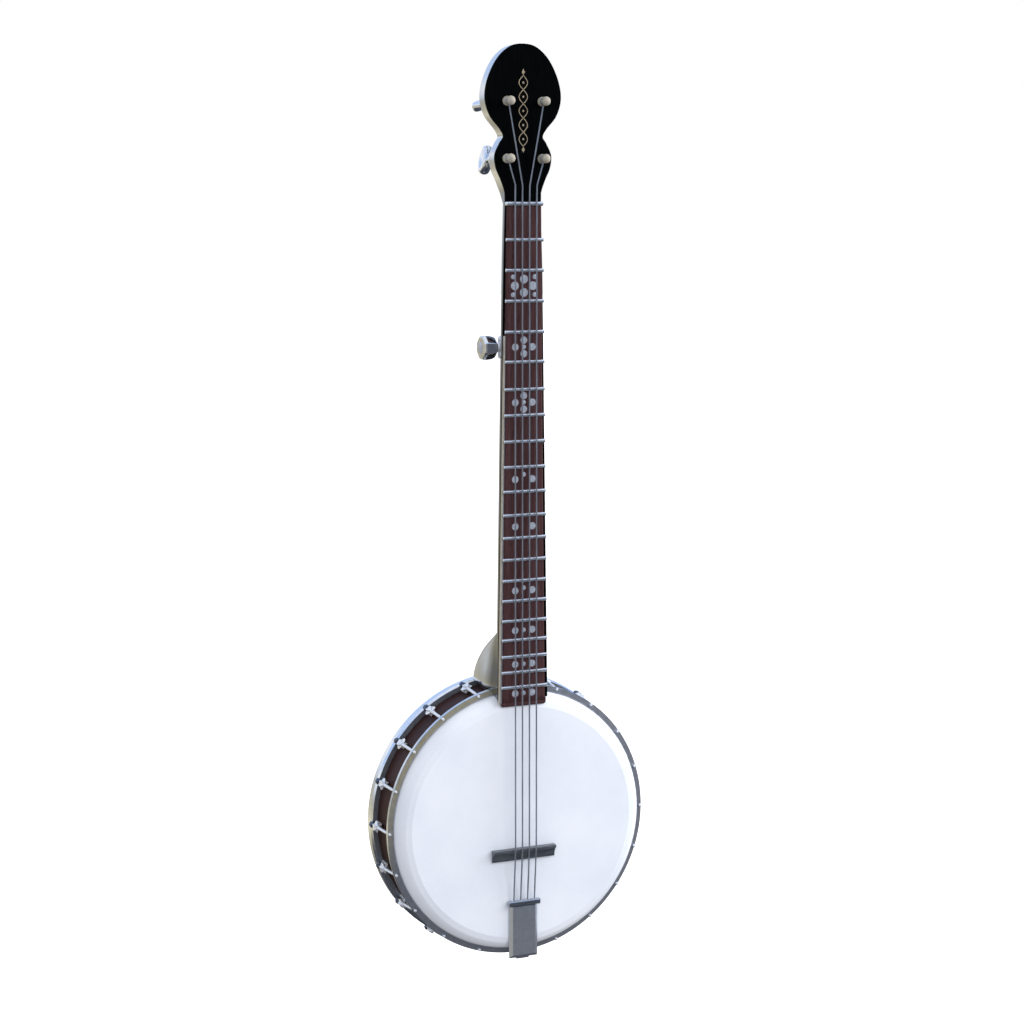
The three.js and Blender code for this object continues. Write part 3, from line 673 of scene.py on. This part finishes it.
def pegs():
    """(name, side, x, z) of each tuner, in the frame's order."""
    for i in range(1, 5):
        x, _, z = middle(f"tuner_post_{i}")
        yield i, math.copysign(1, x), x, z


def pin_hole(x, z):
    return shifted(turned([(0, -40), (3.4, -40), (3.4, 40), (0, 40)], 32), x, 0, z)


def neck():
    holes = [pin_hole(x, z) for _, _, x, z in pegs()]
    piece("neck_wood", neck_shape(), SILVER, "neck", cut=[pot_clearance(), *holes], sharp=32)


def veneer():
    right = [(neck_half(z), z) for z in np.linspace(NECK_END, NUT_Z - 6, 24)]
    right += [(half, z) for half, z in EDGE]
    outline = [*right, *[(-half, z) for half, z in right[:-1][::-1]]]
    holes = [pin_hole(x, z) for _, _, x, z in pegs()]
    shape = slab(outline, VENEER_FRONT, VENEER_BACK)
    piece("peghead_face", shape, VENEER, "peghead_veneer", bevel=0.35, sharp=50, cut=holes)


def ornament():
    """Two strands that cross, with a dot in each eye between them and a lozenge at each end."""
    low, high, reach, eyes = 703, 773, 4.6, 5
    front, half_width = VENEER_FRONT - 0.1, 0.42
    shapes = []
    for side in (-1, 1):
        centre = []
        for t in np.linspace(0, 1, 121):
            centre.append((side * reach * math.sin(math.pi * eyes * t), low + (high - low) * t))
        for (x0, z0), (x1, z1) in zip(centre, centre[1:]):
            along = np.array([x1 - x0, z1 - z0])
            out = half_width * np.array([-along[1], along[0]]) / np.linalg.norm(along)
            quad = [(x0 - out[0], z0 - out[1]), (x1 - out[0], z1 - out[1])]
            quad += [(x1 + out[0], z1 + out[1]), (x0 + out[0], z0 + out[1])]
            shapes.append(slab(quad, front, VENEER_FRONT + 0.2))
    step = (high - low) / eyes
    for eye in range(eyes):
        dot = turned([(0, front), (1.1, front), (1.2, VENEER_FRONT + 0.2), (0, VENEER_FRONT + 0.2)], 24)
        shapes.append(shifted(dot, 0, 0, low + step * (eye + 0.5)))
    for z in (low - 3.4, high + 3.4):
        shapes.append(slab([(-1.7, z), (0, z + 3.2), (1.7, z), (0, z - 3.2)], front, VENEER_FRONT + 0.2))
    piece("peghead_ornament", joined(*shapes), GILT, "peghead_veneer")


def board_ring(z, half, top, base, ledge=0):
    """One ring of the fingerboard. The right side stands back a little, and the left reaches out."""
    bevel = 1.3
    shoulder = min(base - 0.2, top + bevel)
    right = half - 0.9 * ease(NUT_Z, 400, z) + ledge
    left = half + 0.6 * ease(NUT_Z, 560, z)
    section = [(-left, base), (-left, shoulder), (-left + bevel, top)]
    section += [(right - bevel, top), (right, shoulder), (right, base)]
    return [(x, y, z) for x, y in section]


def fingerboard():
    base = VENEER_FRONT - 0.3
    rings = [board_ring(z, board_half(z), BOARD_TOP, base) for z in (NUT_Z - 2.6, 500, 350, 220, 139)]
    ends = [(136.7, 0, 0), (135.2, 0, 0.35), (133.4, 0, 1.1), (131.6, -0.3, 2.0), (130.6, -0.6, 2.7)]
    ends += [(129.9, -0.5, 2.5), (129, -0.2, 2.1), (128, 0, 2.0), (127.2, 0.5, 2.3), (126.6, 1.2, 2.9)]
    ends.append((BOARD_END, 2.4, 3.8))
    for z, inset, drop in ends:
        ledge = 1.8 * ease(135.4, 133.4, z)
        rings.append(board_ring(z, board_half(z) - inset, BOARD_TOP + drop, base, ledge))
    piece("fingerboard_wood", lofted(rings), ROSEWOOD, "fingerboard", sharp=24)


def fret_shape(n):
    """A fret's half-round crown, sloped down at both ends."""
    z = fret_z(n)
    left, right = -board_half(z) - 1.9, board_half(z) + 1.5
    ends = ((0, 0.35), (0.3, 0.75), (0.9, 1))
    stations = [(left + inset, rise) for inset, rise in ends]
    stations += [(right - inset, rise) for inset, rise in ends[::-1]]
    rings = []
    for x, rise in stations:
        ring = []
        for turn in np.linspace(0, math.pi, 13):
            height = FRET_HEIGHT * rise * math.sin(turn)
            ring.append((x, BOARD_TOP - height, z + FRET_WIDTH / 2 * math.cos(turn) * (0.8 + 0.2 * rise)))
        ring += [(x, BOARD_TOP + 0.4, z - 0.4), (x, BOARD_TOP + 0.4, z + 0.4)]
        rings.append(ring)
    return lofted(rings)


def frets():
    for n in range(1, FRETS + 1):
        piece(f"fret_{n:02d}", fret_shape(n), NICKEL, "fingerboard", sharp=60)


def inlays():
    """Pearl discs: (radius, x, z from the middle of the fret gap) for each marked gap."""
    big, medium, small = 4.4, 3.7, 2.4
    pair = [(medium, -9.5, 0), (medium, 9.5, 0)]
    cross = [*pair, (medium, 0, 6.9), (medium, 0, -6.9), (small * 0.95, 0, 0)]
    flower = [(big, -10, 0), (big, 10, 0), (big, 0, 6.7), (big, 0, -6.8)]
    flower += [(small, x, z) for x in (-12, 12) for z in (-9, 9)]
    three = [*pair, (small, 0, 0)]
    marks = {2: flower, 4: cross, 6: cross, 11: pair, 16: three, 18: three}
    marks.update({9: [*pair, (small, 0, 5)], 14: [*pair, (small, 0, 2.6)]})
    shift = -1  # the discs sit a little to the left of the board's centre line
    top = BOARD_TOP - 0.06
    shapes = []
    for gap, discs in marks.items():
        centre = (fret_z(gap) + fret_z(gap + 1)) / 2
        shapes += [disc_at(r, x + shift, centre + z, top) for r, x, z in discs]
    last = fret_z(FRETS) - 6.8
    shapes += [disc_at(r, x + shift, last + z, top) for r, x, z in three]
    piece("pearl_inlays", joined(*shapes), PEARL, "fingerboard")


def disc_at(radius, x, z, top):
    base = BOARD_TOP + 0.5
    outline = [(0, top), (radius - 0.1, top), (radius, top + 0.05), (radius, base), (0, base)]
    return shifted(turned(outline, 40), x, 0, z)


def side_binding():
    """The cream strip, and the grey line that widens between it and the board."""
    low, high = span("side_binding")
    top, base = low[1], high[1]
    ends = ((0, 0.5), (1, 0.15), (3, 0))
    insets = [(low[2] + z, inset) for z, inset in ends] + [(high[2] - z, inset) for z, inset in ends[::-1]]
    strip, line = [], []
    for z, inset in insets:
        board = -board_half(z) - 0.7
        border = board - np.interp(z, (150, 500), (1.5, 0.4))
        outer = -neck_half(z) + inset
        section = rounded([(outer, base), (outer, top + inset), (border, top + inset), (border, base)], 0.3)
        strip.append([(x, y, z) for x, y in section])
        section = [(border + 0.05, base), (border + 0.05, top + inset), (board, top + inset), (board, base)]
        line.append([(x, y, z) for x, y in section])
    piece("side_binding_strip", lofted(strip), IVORY, "side_binding", sharp=60)
    piece("side_binding_line", lofted(line), PLATE, "side_binding", sharp=60)


def nut():
    """The nut: a round bar with domed ends, set into the face of the neck."""
    low, high = span("nut")
    radius = (high[2] - low[2]) / 2
    rings = [(low[0] + x, size) for x, size in ((0, 0.3), (0.15, 0.62), (0.6, 0.88), (1.3, 1))]
    rings += [(-x, size) for x, size in rings[::-1]]
    section = [(math.sin(t), math.cos(t)) for t in np.linspace(0, math.pi, 17)]
    centre = low[1] + radius
    made = []
    for x, size in rings:
        ring = [(x, centre - radius * size * up, NUT_Z + radius * size * across) for up, across in section]
        ring += [(x, high[1], NUT_Z - radius * size), (x, high[1], NUT_Z + radius * size)]
        made.append(ring)
    piece("nut_bar", lofted(made), NICKEL, "nut", sharp=60)


# ---- Pot ----


def head():
    outline = [(0, HEAD_FRONT), (60, HEAD_FRONT), *crown(0), (HEAD_OUTER, HOOP_BACK)]
    outline += [(HEAD_OUTER - SKIN, HOOP_BACK), *crown(SKIN)[::-1]]
    outline += [(60, HEAD_FRONT + SKIN), (0, HEAD_FRONT + SKIN)]
    piece("head_film", turned(outline, 256), SKIN_FILM, "head", sharp=9)


def tone_ring():
    inset = SKIN + 0.3
    outer = crown(inset)
    front, base = outer[0][1], RIM_FRONT - 0.3
    outline = [(HEAD_OUTER - inset, base), *outer[::-1], (RIM_INNER + 1.2, front), (RIM_INNER, front + 1.4)]
    outline += [(RIM_INNER + 0.8, front + 4), (RIM_INNER + 0.8, 2), (RIM_INNER, 4), (RIM_INNER, base)]
    piece("tone_ring_cast", turned(outline, 192), CHROME, "tone_ring", sharp=30)


def rim():
    outline = [(RIM_INNER, RIM_FRONT), (RIM_OUTER, RIM_FRONT), (RIM_OUTER, POT_BACK), (RIM_INNER, POT_BACK)]
    piece("rim_wood", turned(rounded(outline, 1.2), 224), MAHOGANY, "rim")


def tension_hoop():
    """The hoop's band, and the satin face that slopes back a little from its inner edge."""
    inner, outer = (HOOP_INNER + 0.4, -0.3), (HOOP_OUTER - 0.2, 0.5)
    outline = [(HOOP_INNER, HOOP_BACK), (HOOP_INNER, 0), inner, outer, (HOOP_OUTER, 0.9)]
    outline += [(HOOP_OUTER, HOOP_FLANGE), (HOOP_SKIRT, HOOP_FLANGE), (HOOP_SKIRT, HOOP_BACK)]
    piece("hoop_band", turned(rounded(outline, 0.35, 2), 224), HOOP, "tension_hoop", sharp=50)
    face = [(HOOP_INNER + 0.7, 0.1), (HOOP_INNER + 0.6, -0.36), (HOOP_OUTER - 0.5, 0.38)]
    face.append((HOOP_OUTER - 0.6, 0.9))
    piece("hoop_front", turned(face, 224), SATIN, "tension_hoop", sharp=50)


def back_ring():
    inner = RIM_OUTER + 0.3
    outline = [(inner, POT_BACK), (inner, RING_FRONT), (RING_OUTER - 1.8, RING_FRONT)]
    outline += [(RING_OUTER, RING_FRONT + 2), (RING_OUTER, POT_BACK - 1), (RING_OUTER - 1, POT_BACK)]
    piece("back_ring_band", turned(rounded(outline, 0.3, 2), 224), CHROME, "back_ring", sharp=50)
    # The front face is painted shade: a thin sheet of the dull dark ring_face metal over the chrome ring.
    face = [(inner, RING_FRONT + 0.3), (inner, RING_FRONT - 0.08), (RING_OUTER - 2, RING_FRONT - 0.08)]
    face.append((RING_OUTER - 2, RING_FRONT + 0.3))
    piece("back_ring_front", turned(face, 224), RING_FACE, "back_ring", sharp=50)


def hook_angles():
    """Even steps round the pot, without the neck's and the tail's."""
    for step in range(1, HOOK_STEPS):
        if step != HOOK_STEPS // 2:
            yield math.tau * step / HOOK_STEPS


def star_lug():
    """A six-pointed boss that the hook passes through, and the arm that ties it to the back ring."""
    centre, limit = hook_radius(STAR_Y), RING_OUTER + 2.4
    rings = []
    for back, scale in ((-0.66, 0.42), (-0.42, 0.88), (-0.3, 1), (0.34, 1), (0.5, 0.94)):
        ring = []
        for i in range(12):
            reach = STAR_RADIUS * scale * (0.62 if i % 2 else 1)
            turn = math.tau * i / 12
            outward = min(centre + reach * math.sin(turn), limit)
            ring.append((reach * math.cos(turn), STAR_Y + STAR_DEPTH * back, outward))
        rings.append(ring)
    foot = RIM_OUTER + 0.3
    arm = [(-3, STAR_Y, foot), (3, STAR_Y, foot), (3, RING_FRONT + 1, foot), (-3, RING_FRONT + 1, foot)]
    high = [(x * 0.8, y, foot + 2.3) for x, y, _ in arm]
    return lofted(rings), lofted([arm, high])


def hook_radius(y):
    """How far a hook's axis is from the pot's at a given y."""
    return np.interp(y, (HOOK_TIP[0], HOOK_END[0]), (HOOK_TIP[1], HOOK_END[1]))


def lean():
    """The move that takes the origin to the tip of a hook at twelve o'clock, and the Y axis along it."""
    tip, end = Vector((0, *HOOK_TIP)), Vector((0, *HOOK_END))
    return Matrix.Translation(tip) @ (end - tip).to_track_quat("Y", "Z").to_matrix().to_4x4()


def hook_shape():
    """The rod of a hook, which widens where it meets the star, with its ball in front of the hoop."""
    ball = ball_arc(0, 1.6, -1.6, 1.1, 12)
    ball[0] = (0, ball[0][1])
    flange_back = HOOP_FLANGE + 0.6 - HOOK_TIP[0]
    star_front = STAR_Y - STAR_DEPTH / 2 - HOOK_TIP[0]
    shank = [(SHANK_RADIUS, 1.6), (SHANK_RADIUS, flange_back), (1.6, flange_back + 2.5)]
    shank += [(1.7, star_front - 1), (2.1, star_front + 0.6), (0, star_front + 0.6)]
    return moved(turned([*ball, *shank], 20), lean())


def hook_nut():
    """The six-sided nut behind the star."""
    back = math.dist(HOOK_TIP, HOOK_END)
    front = back - HOOK_NUT_LENGTH
    outline = [(0, front), (2.8, front), (3.6, front + 0.9), (3.6, back - 0.9), (2.8, back), (0, back)]
    return moved(turned(outline, 6), lean())


def hooks_and_lugs():
    star, arm = star_lug()
    for i, angle in enumerate(hook_angles(), 1):
        number = f"{i:02d}"
        node = f"tension_hook_{number}"
        piece(f"star_lug_{number}", around(star, angle), CAST, "back_ring", bevel=0.2, sharp=30)
        piece(f"lug_arm_{number}", around(arm, angle), CAST, "back_ring", bevel=0.5)
        piece(f"hook_{number}", around(hook_shape(), angle), CAST, node, sharp=60)
        piece(f"hook_nut_{number}", around(hook_nut(), angle), DARK_NUT, node, bevel=0.25)


def rod_and_nut():
    """The rod, with a hole to turn it by, and the nut on its lower end."""
    shoulder, bottom, top = RIM_INNER - 0.7, ROD_LOW[2], ROD_HIGH[2]
    outline = [(0, bottom), (3, bottom), (3, -shoulder), (4.75, -shoulder)]
    outline += [(4.75, shoulder), (3, shoulder), (3, top), (0, top)]
    rod = upright(turned(rounded_on_axis(outline, 0.5), 48), y=ROD_Y)
    hole = [(ROD_Y + 1.6 * math.sin(a), 1.6 * math.cos(a) - 60) for a in np.arange(24) / 24 * math.tau]
    piece("coordinator_rod_bar", rod, ROD, "coordinator_rod", cut=[beam(hole, -9, 9)])
    low, high = span("tail_nut")
    dome = [(3.4, high[2]), (6.4, high[2]), (6.4, low[2] + 1.2), (5.2, low[2]), (3.4, low[2])]
    piece("tail_nut_hex", upright(turned(dome, 6), y=ROD_Y), CHROME, "tail_nut", bevel=0.4)


def tail_hanger():
    """A strap that runs back under the hoop, steps in to the rim and takes the rod's end."""
    low, high = span("tail_hanger")
    thick = 2
    front, back, top = low[1], high[1], high[2]
    outside, bend = -(RIM_OUTER + 2.6), -(HOOP_OUTER + 0.6)
    outline = [(front, top), (front, bend - thick), (16, bend - thick), (21, outside), (back, outside)]
    outline += [(back, outside + thick), (20, outside + thick), (15, bend), (front + thick, bend)]
    outline.append((front + thick, top))
    hole = upright(turned([(0, -170), (3.4, -170), (3.4, -120), (0, -120)], 32), y=ROD_Y)
    piece("tail_strap", beam(rounded(outline, 1.2, 4), -7, 7), PLATE, "tail_hanger", bevel=0.3, cut=[hole])


# ---- Bridge, tailpiece and strings ----


def bridge():
    """A wedge with a lip along its crest and a hollow slope behind."""
    crest, base = BRIDGE_LOW[1], BRIDGE_HIGH[1]
    top, back = BRIDGE_HIGH[2], BRIDGE_LOW[2]
    outline = [(base, top), (crest + 0.8, top - 0.2), (crest, top - 1), (crest, top - 2.8)]
    outline.append((crest + 1.2, top - 3.3))
    for t in np.linspace(0, 1, 7):
        outline.append((crest + 1.9 + 3.4 * math.sin(t * math.pi / 2), top - 3.6 - (top - 3.6 - back) * t))
    outline.append((base, back))
    lines = [[(x, crest - 0.5, top + 4), (x, crest - 0.1, back)] for x in STRING_PLACES]
    grooves = [tube(line, STRING_RADIUS + 0.05) for line in lines]
    wedge = beam(outline, BRIDGE_LOW[0], BRIDGE_HIGH[0])
    piece("bridge_wedge", wedge, EBONY, "bridge", bevel=0.35, sharp=24, cut=grooves)


def tailpiece():
    bevel = 3.4
    half = PLATE_HIGH[0]
    corners = [(-half, PLATE_LOW[2]), (-half, PLATE_HIGH[2]), (half, PLATE_HIGH[2]), (half, PLATE_LOW[2])]
    face = [(-half + bevel, PLATE_LOW[2] + bevel), (-half + bevel, PLATE_HIGH[2] - 0.6)]
    face += [(half - bevel, PLATE_HIGH[2] - 0.6), (half - bevel, PLATE_LOW[2] + bevel)]
    levels = ((PLATE_LOW[1], face), (PLATE_HIGH[1] - 0.8, corners), (PLATE_HIGH[1], corners))
    shape = lofted([[(x, y, z) for x, z in ring] for y, ring in levels])
    piece("tailpiece_cover", shape, PLATE, "tailpiece_plate", bevel=0.7, sharp=12)
    low, high = BAR_LOW, BAR_HIGH
    section = [(high[1], low[2]), (low[1] + 0.8, low[2]), (low[1], low[2] + 0.8), (low[1], high[2] - 0.8)]
    section += [(low[1] + 0.8, high[2]), (high[1], high[2])]
    piece("string_bar", beam(section, low[0], high[0]), GRAPHITE, "tailpiece_bar", bevel=0.35)


def ferrules():
    """The collars where the strings enter the bar."""
    ring = [(STRING_RADIUS + 0.1, -0.3), (1.5, -0.3), (1.5, 0.5), (STRING_RADIUS + 0.1, 0.5)]
    collar = turned(rounded(ring, 0.15), 24)
    collars = [upright(collar, x, STRING_END_Y, BAR_HIGH[2]) for x in STRING_PLACES]
    piece("string_ferrules", joined(*collars), NICKEL, "tailpiece_bar")


def string_shape(x):
    """A string from its turns round a post, over the nut and the bridge, to the tailpiece."""
    side = math.copysign(1, x)
    posts = {(s, z > STRING_BEND_Z + 40): (px, z) for _, s, px, z in pegs()}
    outer = x in (STRING_PLACES[0], STRING_PLACES[-1])
    post_x, post_z = posts[(side, not outer)]
    lift = STRING_RADIUS + 0.3
    wound = 2.2 + lift
    path = []
    for t in np.linspace(0, 1, 34):
        turn = side * (math.pi * 2.9 * (1 - t)) + math.pi
        y = POST_WAIST_Y - 0.9 + 1.8 * t
        path.append((post_x + wound * math.sin(turn), y, post_z + wound * math.cos(turn)))
    bend = [
        (post_x - side * 0.6, POST_WAIST_Y + 0.9, post_z - wound - 0.9),
        (x + side * 0.3, POST_WAIST_Y + 0.9, STRING_BEND_Z + 1),
        (x, POST_WAIST_Y + 0.95, STRING_BEND_Z - 1),
        (x, NUT_FRONT - lift + 0.05, NUT_Z + 1),
        (x, NUT_FRONT - lift + 0.05, NUT_Z - 1),
        (x, BRIDGE_LOW[1] - lift + 0.05, BRIDGE_HIGH[2] - 0.5),
        (x, BRIDGE_LOW[1] - lift + 0.3, BRIDGE_HIGH[2] - 3.2),
        (x, STRING_END_Y, BAR_HIGH[2] + 0.1),
    ]
    return tube([*path, *bend], STRING_RADIUS, 12)


def strings():
    for i, x in enumerate(STRING_PLACES, 1):
        piece(f"string_wire_{i}", string_shape(x), WIRE, f"string_{i}", sharp=70)


# ---- Pegs ----


def ball_arc(centre, radius, low, high, steps):
    """Part of a ball's outline as (radius, y) points between two distances from its centre."""
    points = []
    for turn in np.linspace(math.asin(low / radius), math.asin(high / radius), steps):
        points.append((radius * math.cos(turn), centre + radius * math.sin(turn)))
    return points


def post_shape():
    tip = ball_arc(-27.2, 4.6, -4.6, 3.9, 18)
    tip[0] = (0, tip[0][1])
    collar = ball_arc(-17.4, 4.8, -3.9, 2.9, 14)
    waist = [(2.3, tip[-1][1] + 0.3), (2.2, POST_WAIST_Y), (2.3, collar[0][1] - 0.3)]
    shaft = [(3, collar[-1][1] + 0.2), (3, PEGHEAD_BACK), (0, PEGHEAD_BACK)]
    return turned([*tip, *waist, *collar, *shaft], 48)


def housing_shape():
    front = PEGHEAD_BACK + 0.3
    outline = [(0, front), (8, front), (8, front + 1.5), (6.6, front + 2), (6.6, front + 6)]
    outline += [(6.1, front + 6.4), (6.1, front + 7), (6.6, front + 7.4), (6.6, front + 12)]
    outline += [(4.8, front + 15), (0, front + 15)]
    return turned(rounded_on_axis(outline, 0.35), 48)


def button_shape(angle):
    """An oval button with a raised rim, on its shaft."""
    outline = [(0, -0.62), (0.35, -0.64), (0.6, -0.78), (0.76, -0.84), (0.88, -0.74), (0.96, -0.45)]
    outline += [(1, 0)] + [(r, -y) for r, y in outline[:0:-1]] + [(0, 0.62)]
    paddle = upright(moved(turned(outline, 56), Matrix.Diagonal((15.2, 6, 8.7, 1))))
    turn = Matrix.Translation((0, BUTTON_Y, 0)) @ Matrix.Rotation(angle, 4, "Y")
    start = PEGHEAD_BACK + 15.9
    shaft = [(0, start), (2.4, start), (2.4, start + 6), (3.4, start + 9)]
    shaft += [(3.4, start + 13), (0, start + 13)]
    return joined(moved(paddle, turn), turned(rounded_on_axis(shaft, 0.4), 32))


def tuners():
    for i, _, x, z in pegs():
        post, button = f"tuner_post_{i}", f"tuner_button_{i}"
        paddle = button_shape(REST_ANGLES[i - 1])
        piece(f"post_{i}", shifted(post_shape(), x, 0, z), IVORY, post, post, sharp=50)
        piece(f"housing_{i}", shifted(housing_shape(), x, 0, z), CHROME, f"tuner_housing_{i}", sharp=50)
        piece(f"button_{i}", shifted(paddle, x, 0, z), CHROME, button, button, sharp=50)


def beside_neck(shape, x, up=0):
    """A shape drawn about the Y axis, standing out of the left side of the neck at the fifth peg."""
    place = Matrix.Translation((x, FIFTH_Y, FIFTH_Z + up))
    return moved(shape, place @ Matrix.Rotation(math.pi / 2, 4, "Z"))


def fifth_plate():
    """A round-ended plate with a slotted screw at each end."""
    half, end = 4, 11.5
    oval = []
    for centre, start in ((end - half, 0), (half - end, math.pi)):
        for t in np.linspace(start, start + math.pi, 13):
            oval.append((FIFTH_Y + half * math.cos(t), FIFTH_Z + centre + half * math.sin(t)))
    plate = beam(oval, FIFTH_SIDE + 3, FIFTH_SIDE - 1.6)
    piece("fifth_plate", plate, CAST, "fifth_peg_plate", bevel=0.3)
    head = [(0, 1.5), (2.3, 1.5), (2.2, 2.0), (1.6, 2.4), (0, 2.55)]
    screws, slots = [], []
    for up in (-8, 8):
        screws.append(beside_neck(turned(head, 24), FIFTH_SIDE, up))
        low, high = FIFTH_Z + up - 0.3, FIFTH_Z + up + 0.3
        slot = [(FIFTH_Y - 3, low), (FIFTH_Y + 3, low), (FIFTH_Y + 3, high), (FIFTH_Y - 3, high)]
        slots.append(beam(slot, FIFTH_SIDE - 3, FIFTH_SIDE - 2.1))
    piece("fifth_screws", joined(*screws), CAST, "fifth_peg_plate", cut=slots)


def fifth_post():
    outline = [(0, -8), (3, -8), (3, 1.8), (4.9, 1.9), (4.9, 2.4), (4.3, 3)]
    outline += [(4.3, 4.2), (4.9, 4.8), (4.9, 5.3), (0, 5.3)]
    post = beside_neck(turned(rounded_on_axis(outline, 0.3), 48), FIFTH_SIDE)
    piece("fifth_post", post, CAST, "fifth_peg_post", "fifth_peg_post", sharp=50)


def fifth_knob():
    """An eight-sided knob with a cream face and a pearl disc in its end."""
    node = "fifth_peg_button"
    facets = Matrix.Rotation(math.pi / 8, 4, "Y")
    body = [(0, 0), (5.6, 0), (9.2, 0.8), (11.4, 3), (12.8, 7), (13.4, 13), (12.6, 15.4), (11.6, 16), (0, 16)]
    knob = beside_neck(moved(turned(body, 8), facets), KNOB_X)
    piece("fifth_knob", knob, CHROME, node, node, bevel=0.7, sharp=20)
    rim = [(0, 15.6), (11.6, 15.6), (11.6, 16), (11.1, 16.4), (0, 16.4)]
    face = beside_neck(moved(turned(rim, 8), facets), KNOB_X)
    piece("fifth_knob_face", face, CREAM, node, node, bevel=0.3, sharp=20)
    lens = [(0, 16), (6.2, 16), (6.2, 16.5), (5.4, 16.9), (2.8, 17.1), (0, 17.2)]
    piece("fifth_pearl", beside_neck(turned(lens, 40), KNOB_X), PEARL, node, node)


# ---- Stage ----


# What the banjo reflects, from straight down at 0 to straight up at 1: WARM on the left, COOL on the right
SKY = (0.66, (198, 220, 255)), (0.78, (184, 211, 255)), (1, (240, 246, 255))
WARM = (
    (0, (58, 62, 72)), (0.26, (84, 86, 92)), (0.32, (190, 184, 162)), (0.36, (238, 230, 206)),
    (0.39, (206, 200, 178)), (0.44, (190, 186, 171)), (0.48, (188, 188, 184)), (0.51, (214, 220, 230)),
    (0.55, (236, 242, 252)), (0.6, (250, 252, 255)),
)
COOL = (
    (0, (58, 62, 72)), (0.3, (78, 82, 92)), (0.42, (104, 110, 120)), (0.5, (150, 155, 162)),
    (0.54, (235, 240, 246)),
)


def stage():
    """A pale floor well below the banjo, which neither lights it nor shows in its reflections."""
    glow = {"Emission_Color": (1, 1, 1, 1), "Emission_Strength": 0.6}
    material, tree = new_material("floor_paint", Roughness=0.9, **glow)
    grain = noise(tree, where(tree), 3)
    feed(tree, "Base Color", shades(tree, grain, (0.3, (0.9, 0.9, 0.9, 1)), (0.7, (0.93, 0.93, 0.93, 1))))
    size, below = 40, 0.7
    mesh = bpy.data.meshes.new("floor")
    z = cad_box[0].z - below
    corners = ((-size, -size), (size, -size), (size, size), (-size, size))
    mesh.from_pydata([(x, y, z) for x, y in corners], [], [(0, 1, 2, 3)])
    mesh.materials.append(material)
    floor = in_scene("floor", mesh)
    floor.visible_glossy = False
    floor.visible_diffuse = False


def aimed(name, data, place, aim):
    """An object at a place that looks at an aim."""
    made = in_scene(name, data)
    made.location = place
    made.rotation_mode = "QUATERNION"
    made.rotation_quaternion = (Vector(aim) - Vector(place)).to_track_quat("-Z", "Y")
    return made


def soft_light(name, place, aim, size, power, colour=(1, 1, 1)):
    """A round lamp, hidden from the camera and from reflections."""
    lamp = bpy.data.lights.new(name, "AREA")
    lamp.shape = "DISK"
    lamp.size = size
    lamp.energy = power
    lamp.color = colour
    made = aimed(name, lamp, place, aim)
    made.visible_camera = False
    made.visible_glossy = False


def studio():
    """The studio's walls: plain white to the camera, and in reflections a pale sky over a dim floor."""
    world = bpy.data.worlds.new("studio")
    bpy.context.scene.world = world
    world.use_nodes = True
    tree = world.node_tree
    tree.nodes.clear()
    way = add(tree, "SeparateXYZ", {0: add(tree, "TexCoord").outputs["Generated"]}).outputs
    height = spread(tree, way["Z"], -1, 1)
    right = spread(tree, way["X"], 0, 0.3)
    back = blend(tree, right, tones(tree, height, *WARM, *SKY), tones(tree, height, *COOL, *SKY))
    backward = add(tree, "Math", {0: way["X"], 1: -0.5, 2: way["Y"]}, operation="MULTIPLY_ADD").outputs[0]
    behind, above = spread(tree, backward, -0.95, -0.5), spread(tree, way["Z"], 0.2, 0.6)
    lit = add(tree, "Math", {0: behind, 1: above}, operation="MAXIMUM").outputs[0]
    mirrored = blend(tree, lit, srgb(86, 90, 98), back)
    ambient = tones(tree, height, (0, (168, 160, 148)), (0.5, (216, 218, 226)), (1, (255, 255, 255)))
    ray = add(tree, "LightPath").outputs
    unseen = blend(tree, ray["Is Glossy Ray"], ambient, mirrored)
    seen = blend(tree, ray["Is Camera Ray"], unseen, (1, 1, 1, 1))
    add(tree, "OutputWorld", {"Surface": add(tree, "Background", {"Color": seen}).outputs[0]})


def camera():
    """The main view: from the left and a little above, through a long lens."""
    azimuth, elevation, distance, lens = -22.98, 7.785, 2.1746, 73.66
    aim = POT + Vector((-0.00652, 0, 0.3291))
    a, e = math.radians(azimuth), math.radians(elevation)
    back = Vector((math.sin(a) * math.cos(e), -math.cos(a) * math.cos(e), math.sin(e)))
    data = bpy.data.cameras.new("camera")
    data.lens = lens
    bpy.context.scene.camera = aimed("camera", data, aim + back * distance, aim)


camera()
stage()
studio()
soft_light("key", (1.5, -1.9, 0.9), POT, 1.4, 25)
soft_light("side", (2.3, -0.5, 0.5), POT, 1.2, 60)
soft_light("fill", (-2, -1.3, 0.2), POT, 1.4, 4, (0.9, 0.93, 1))
bpy.context.scene.view_settings.view_transform = "Standard"

neck()
veneer()
ornament()
fingerboard()
frets()
inlays()
side_binding()
nut()
head()
tone_ring()
rim()
tension_hoop()
back_ring()
hooks_and_lugs()
rod_and_nut()
tail_hanger()
bridge()
tailpiece()
ferrules()
strings()
tuners()
fifth_plate()
fifth_post()
fifth_knob()
